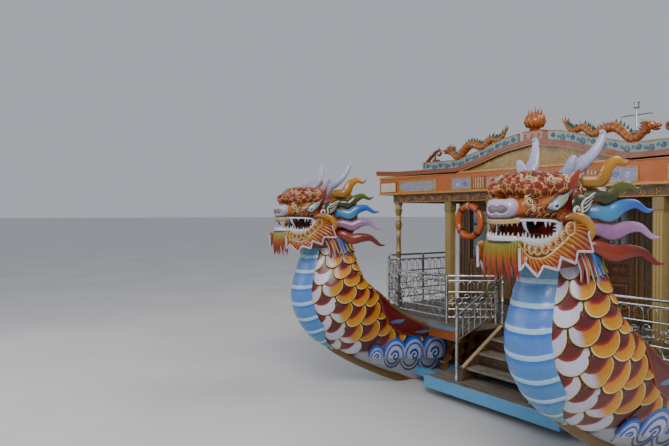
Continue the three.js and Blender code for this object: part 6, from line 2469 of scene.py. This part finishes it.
WALL, DOORWAY = (1.0108, 3.169), (1.0108, 2.84)  # foot and top
SIDE_HOLES = [(-4.5 + 1.48 * (i + 0.5) - 0.575, -4.5 + 1.48 * (i + 0.5) + 0.575) for i in range(5)]


def walled(wall, trim, glass, place, span, low, high, holes, doors=()):
    """A panelled wall in its own plane, with glazed holes and open doorways, each (from, to, low, high)."""
    thick = 0.06
    cuts = sorted({span[0], span[1], *[v for h in (*holes, *doors) for v in h[:2]]})
    for a, b in zip(cuts, cuts[1:]):
        over = [h for h in (*holes, *doors) if h[0] <= a and h[1] >= b]
        levels = [low] + [v for h in over for v in h[2:4]] + [high]
        for z0, z1 in zip(levels[::2], levels[1::2]):
            if z1 - z0 > 0.01:
                slab(wall, place, (a, b), (z0, z1), (0.004, thick - 0.006))
    face = raised(place, thick - 0.006)
    for a, b, z0, z1 in holes:
        trim.paint("7d5416")
        frame_of(trim, face, (a - 0.05, b + 0.05), (z0 - 0.05, z1 + 0.05), 0.05, (-0.004, 0.018))
        trim.paint("4c3010")
        frame_of(trim, place, (a + 0.001, b - 0.001), (z0 + 0.001, z1 - 0.001), 0.035, (0.012, thick - 0.012))
        bars = max(2, round((b - a) / 0.55))
        for k in range(1, bars):
            middle = lerp(a, b, k / bars)
            slab(
                trim, place, (middle - 0.016, middle + 0.016), (z0 + 0.036, z1 - 0.036),
                (0.014, thick - 0.014),
            )
        slab(trim, place, (a + 0.036, b - 0.036), (z1 - 0.3, z1 - 0.275), (0.016, thick - 0.016))
        slab(
            glass, place, (a + 0.03, b - 0.03), (z0 + 0.03, z1 - 0.03),
            (thick / 2 - 0.003, thick / 2 + 0.003),
        )
    bays = [
        (a, b)
        for a, b in zip(cuts, cuts[1:]) if b - a > 0.25 and not any(h[0] <= a and h[1] >= b for h in doors)
    ]
    for a, b in bays:
        under = [h for h in holes if h[0] <= a and h[1] >= b]
        top = under[0][2] - 0.07 if under else high - 0.12
        count = max(1, round((b - a) / 0.75))
        for k in range(count):
            p, q = lerp(a, b, k / count) + 0.03, lerp(a, b, (k + 1) / count) - 0.03
            trim.paint("7d5416")
            frame_of(trim, face, (p, q), (low + 0.12, top), 0.035, (-0.004, 0.014))
            boards = max(2, round((q - p - 0.09) / 0.09))
            for m in range(boards):
                trim.paint(("6e4a12", "5c3a10", "77541a")[(m + k) % 3])
                left, right = (lerp(p + 0.045, q - 0.045, (m + side) / boards) for side in (0, 1))
                slab(
                    trim, face, (left + 0.004, right - 0.004), (low + 0.165, top - 0.045),
                    (-0.004, 0.009 - 0.003 * (m % 2)),
                )
    for a, b in zip([span[0]] + [d[1] for d in doors], [d[0] for d in doors] + [span[1]]):
        trim.paint("3c2410")
        slab(trim, face, (a + 0.002, b - 0.002), (low + 0.002, low + 0.1), (-0.004, 0.016))


def cabin():
    """The cabin's four walls and their glass."""
    glass = Shape().paint("ffffff")
    for side, way in SIDES:
        wall, trim = Shape().paint("5f3a14"), Shape()
        place = facing_out(3.04, way)
        turned = [(-b, -a) if way > 0 else (a, b) for a, b in SIDE_HOLES]
        span = (-2.899, 4.499) if way > 0 else (-4.499, 2.899)
        walled(wall, trim, glass, place, span, *WALL, [(a, b, 1.8, 2.75) for a, b in turned])
        wall.make(f"side_panels_{side}", "wall", slot="wall_panels", replaces=[f"side_wall_{side}"])
        trim.make(f"side_mouldings_{side}", "wall", slot="wall_panels")
    for name, place, windows, doorway in (
        ("front", facing(2.901), [(0.9, 2.8, 1.8, 2.75), (-2.8, -0.9, 1.8, 2.75)], (-0.5, 0.5, *DOORWAY)),
        ("aft", facing_aft(-4.501), [(-1.7, -0.3, 2.0, 2.75)], (0.1, 0.9, *DOORWAY)),
    ):
        wall, trim = Shape().paint("6a4a16"), Shape()
        walled(wall, trim, glass, place, (-3.099, 3.099), *WALL, windows, [doorway])
        wall.make(f"{name}_panels", "wall", slot="wall_panels", replaces=[f"{name}_wall"])
        trim.make(f"{name}_mouldings", "wall", slot="wall_panels")
    glass.make("cabin_glass", "glass", slot="wall_panels")


def door_leaf(shape, glass, place, a, b, thick=0.04):
    """A framed leaf with panels below and glass above, between a low and a high place across."""
    low, high = 1.0165, 2.8335
    shape.paint("6a3c12")
    for p, q in ((a, a + 0.075), (b - 0.075, b)):
        slab(shape, place, (p, q), (low, high), (0.002, thick - 0.002))
    for z0, z1 in ((low, low + 0.16), (1.62, 1.7), (1.9, 1.97), (high - 0.1, high)):
        slab(shape, place, (a + 0.075, b - 0.075), (z0, z1), (0.002, thick - 0.002))
    shape.paint("5a2408")
    for z0, z1 in ((low + 0.16, 1.62), (1.7, 1.9)):
        slab(shape, place, (a + 0.075, b - 0.075), (z0, z1), (0.012, thick - 0.012))
    shape.paint("95691a")
    front = raised(place, thick - 0.012)
    frame_of(shape, front, (a + 0.11, b - 0.11), (low + 0.2, 1.58), 0.016, (0, 0.008))
    middle = (a + b) / 2
    for turn in (1, -1):
        start = math.pi / 2 * (1 - turn)
        curl(shape, front, (middle + turn * 0.05, 1.8), 0.045, 1.5, start, turn, 0.012, 0.007)
    shape.paint("6a3c12")
    slab(shape, place, (middle - 0.012, middle + 0.012), (1.97, high - 0.1), (0.008, thick - 0.008))
    slab(glass, place, (a + 0.07, b - 0.07), (1.965, high - 0.095), (thick / 2 - 0.003, thick / 2 + 0.003))


def doors():
    """The front doors' two leaves and the aft door."""
    for side, way in SIDES:
        leaf, glass = Shape(), Shape().paint("ffffff")
        a, b = sorted((way * 0.004, way * 0.493))
        door_leaf(leaf, glass, facing(2.92), a, b)
        leaf.make(f"door_leaf_{side}", "wall", f"{side}_front_door", "door_panels", [f"front_door_{side}"])
        glass.make(f"door_glass_{side}", "glass", f"{side}_front_door", "door_panels")
        pull = Shape()
        y = way * 0.045
        spots = [(2.944, y, 1.78), (2.957, y, 1.8), (2.957, y, 1.96), (2.944, y, 1.98)]
        pull.tube(spots, 0.0025, 8)
        pull.make(f"door_pull_{side}", "brass", f"{side}_front_door", "door_panels")
    leaf, glass = Shape(), Shape().paint("ffffff")
    door_leaf(leaf, glass, facing_aft(-4.5215), 0.108, 0.892, 0.0375)
    leaf.make("aft_door_panel", "wall", "aft_door_leaf", "door_panels", ["aft_door"])
    glass.make("aft_door_glass", "glass", "aft_door_leaf", "door_panels")


# Engine hatches, helm, lifebuoys and the hull's trim

def hatches():
    """The hatches over the engine wells, each with a handle."""
    for side, way in SIDES:
        shape = Shape()
        for k in range(6):
            y = way * HULL_Y - 0.38 + k * 0.76 / 6
            shape.box((-6.198, y + 0.002, 1.0175), (-4.902, y + 0.76 / 6 - 0.002, 1.05), 0.005)
        for x in (-6.12, -5.55, -4.98):
            shape.box(
                (x - 0.035, way * HULL_Y - 0.375, 1.048), (x + 0.035, way * HULL_Y + 0.375, 1.0555), 0.003,
            )
        shape.make(f"hatch_boards_{side}", "deck", f"{side}_hatch", "deck_boards", [f"engine_hatch_{side}"])
        ring = Shape()
        handle = ((-6.13, -0.06, 1.05), (-6.125, -0.055, 1.082), (-6.12, 0.055, 1.082), (-6.12, 0.06, 1.05))
        ring.tube([(x, way * HULL_Y + y, z) for x, y, z in handle], 0.007, 8)
        ring.make(f"hatch_handle_{side}", "steel", f"{side}_hatch", "deck_boards")


def helm():
    """The console and the wheel."""
    shape = Shape().paint("7b4520")
    shape.box((-4.72, 0.505, DECK + 0.001), (-4.567, 1.095, 1.9), 0.01)
    shape.paint("5d3216")
    shape.box((-4.725, 0.5, 1.9), (-4.566, 1.1, 1.949), 0.008)
    shape.box((-4.722, 0.502, DECK + 0.001), (-4.57, 1.098, 1.1), 0.006)
    place = facing_aft(-4.72)
    for y in (-1.06, -0.79):
        frame_of(shape, place, (y, y + 0.25), (1.15, 1.62), 0.022, (-0.004, 0.012))
    shape.paint("2b2d30")
    for k in range(3):
        disc(shape, place, (-0.95 + 0.15 * k, 1.84), 0.035, 0.014, around=16)
    shape.paint("8b8f92")
    shape.tube([(-4.71, 0.8, 1.75), (-4.784, 0.8, 1.75)], 0.028, 12)
    shape.make("helm_cabinet", "paint", slot="helm_wood", replaces=["helm_console"])
    wheel = Shape()
    centre = Vector((-4.82, 0.8, 1.75))
    for radius, thick, sides in ((0.26, 0.019, 10), (0.235, 0.006, 6), (0.285, 0.006, 6)):
        wheel.tube([centre + Vector((0, *p)) for p in circle((0, 0), radius, 40)], thick, sides)
    wheel.lathe(
        ((0.001, -0.029), (0.04, -0.029), (0.05, -0.01), (0.05, 0.01), (0.03, 0.024), (0.001, 0.024)),
        centre, (1, 0, 0), 16,
    )
    spoke = (
        (0.001, 0.04), (0.012, 0.05), (0.012, 0.08), (0.017, 0.11), (0.01, 0.15), (0.014, 0.22),
        (0.014, 0.28), (0.01, 0.29), (0.015, 0.32), (0.011, 0.345), (0.001, 0.349),
    )
    for k in range(6):
        angle = TURN * k / 6
        wheel.lathe(spoke, centre, (0, math.cos(angle), math.sin(angle)), 8)
    wheel.make("steering_wheel", "helm", "helm", "helm_wood", ["helm_wheel"], smooth=50)


def banded_ring(shape, place, reach, sides, steps, band, plain, banded):
    """A ring whose section, (radius, colour), is plain, or banded where band(k) holds."""
    rows, paints = [], []
    for k in range(steps + 1):
        angle = TURN * k / steps
        size, code = banded if band(k) else plain
        row = []
        for j in range(sides):
            turn = TURN * j / sides
            out = reach + size * math.cos(turn)
            row.append(place(out * math.cos(angle), out * math.sin(angle), size * math.sin(turn)))
        rows.append(row)
        paints += [rgb(code)] * sides
    shape.grid(rows, ring=True, paints=paints)


def lifebuoys():
    """The orange and white rings on the cabin's sides, each with its line."""
    for side, way in SIDES:
        shape = Shape()

        def place(a, b, depth):
            return (-0.5 + a, way * 3.166 + 0.98 * depth, 1.45 + b)

        banded_ring(
            shape, place, 0.28, 14, 48, lambda k: k % 12 in (5, 6, 7), (0.055, "cf4a14"), (0.058, "d9dad6"),
        )
        shape.make(
            f"lifebuoy_ring_{side}", "gloss", slot="lifebuoy_shell", replaces=[f"lifebuoy_{side}"],
            smooth=60,
        )
        rope = Shape().paint("d8cfb4")
        loops = []
        for k in range(65):
            angle = TURN * k / 64
            reach = 0.342 - 0.012 * math.cos(4 * angle) ** 2
            loops.append((-0.5 + reach * math.cos(angle), way * 3.166, 1.45 + reach * math.sin(angle)))
        rope.tube(loops, 0.0045, 6)
        rope.make(f"lifebuoy_line_{side}", "paint", slot="lifebuoy_shell")


def porch_lifebuoy():
    """An orange ring with dark straps that hangs under the head beam, between two porch posts."""
    shape = Shape()
    x, y, z, reach, thick = 4.54, -1.31, 2.545, 0.245, 0.055

    def place(a, b, depth):
        return (x + depth, y + a, z + b)

    banded_ring(
        shape, place, reach, 12, 64, lambda k: k % 16 in (7, 8), (thick, "c4550f"), (thick + 0.004, "3a2410"),
    )
    for side in (-0.012, 0.012):
        sling = [(a, y + side, b) for a, b in circle((x, z + reach), 0.066, 20)]
        shape.paint("b9ae94").tube(sling, 0.008, 6)
    shape.make("porch_lifebuoy", "gloss", slot="lifebuoy_shell", smooth=60)


def hull_trim():
    """The light blue rub rail on the outer side, with a red and a yellow line and teal curls below it."""
    rail, marks = Shape(), Shape()

    def outer(x, z, lift):
        """A place on the hull's outer side."""
        s = next((k for k in range(STERN, BOW) if SKIN_ROWS[k + 1][0] >= x), BOW - 1)
        part = (x - SKIN_ROWS[s][0]) / (SKIN_ROWS[s + 1][0] - SKIN_ROWS[s][0])
        row = spline(SKIN_ROWS, s + part)
        level = (row[1] - z) / (row[1] - row[3])
        for (l0, h0), (l1, h1) in zip(
            zip((0, 0.2, 0.5, 0.8, 1), row[4:9]), zip((0.2, 0.5, 0.8, 1), row[5:9]),
        ):
            if level <= l1:
                return Vector((x, lerp(h0, h1, (level - l0) / (l1 - l0)) + lift, z))
        return Vector((x, row[8] + lift, z))

    xs = [lerp(-6.7, 5.2, k / 60) for k in range(61)]
    for low, high, lift, code in (
        (0.785, 0.895, 0.058, "6aa9d4"), (0.745, 0.785, 0.03, "b3211a"), (0.7, 0.745, 0.022, "dca52c"),
    ):
        rail.paint(code)
        rows = []
        for x in xs:
            y = max(outer(x, low, 0).y, outer(x, high, 0).y) + lift
            rows.append([
                (x, outer(x, low, -0.03).y, low), (x, y - 0.006, low), (x, y, low + 0.008),
                (x, y, high - 0.008), (x, y - 0.006, high), (x, outer(x, high, -0.03).y, high),
            ])
        rail.grid([row[::-1] for row in rows], ring=True, ends=True)
    marks.paint("2f8f8a")
    below = raised(lambda a, b, lift: outer(-a, b, lift), 0.006)
    for k in range(14):
        x = -6.3 + 0.78 * k
        if x > 4.2:
            continue
        for dx, dz, r, way in ((0, 0.52, 0.11, 1), (0.24, 0.47, 0.08, -1)):
            curl(marks, below, (-(x + dx), dz), r, 1.9, math.pi, way, 0.026, 0.008, 16)
        wave = [(-(x + 0.02 * j), 0.36 + 0.03 * math.sin(0.45 * j)) for j in range(-8, 22)]
        ribbon(marks, below, wave[::-1], thin_ends(30, 0.03), 0.008)
    for shape, name, finish in ((rail, "rub_rail", "paint"), (marks, "hull_curls", "gloss")):
        for side, way in SIDES:
            shape.make(f"{name}_{side}", finish, slot="hull_paint", flip=way < 0, shift=(0, way * HULL_Y, 0))


# The floor and the solids that show

NODE_FINISHES = (
    # Columns: how a node's name starts, and its material. The first row that fits counts.
    ("hull_", "hull"), ("deck", "deck"), ("boarding", "platform"), ("stair_rail", "steel"), ("stair", "deck"),
    ("engine_hatch", "deck"), ("engine_", "iron"), ("shaft", "shaft"), ("propeller", "brass"),
    ("rudder", "iron"), ("helm", "helm"), ("roof", "roof"), ("porch_rail", "steel"), ("aft_rail", "steel"),
    ("light_mast", "steel"),
)


def add_floor():
    """The water's plane, for the picture only."""
    floor = Shape().paint("ffffff")
    ends = (-FLOOR_REACH, FLOOR_REACH)
    floor.grid([[(x, y, 0.0) for y in ends] for x in ends])
    ground = add_thing("floor", floor.mesh("floor"))
    ground.data.flip_normals()
    ground.data.materials.append(M["floor"])


def finish_nodes():
    """Gives each of the frame's solids its material."""
    for name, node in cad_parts.items():
        finish = next((m for start, m in NODE_FINISHES if name.startswith(start)), "hull")
        for k in range(len(node.data.materials)):
            node.data.materials[k] = M[finish]


make_materials()
add_camera()
add_lights()
build_skin()
neck_scales().pair("neck_scales", "scale", "scale_paint")
belly()
strake()
clouds(bow_tree())
hull_scales()
build_heads()
hull_trim()
deck()
platform()
stair()
bitts()
rails()
stair_rails()
porch_posts()
frieze()
roof()
eaves()
gables()
crest_band()
roof_dragon()
corner_curl()
orb()
mast()
cabin()
doors()
hatches()
helm()
lifebuoys()
porch_lifebuoy()

add_floor()
finish_nodes()
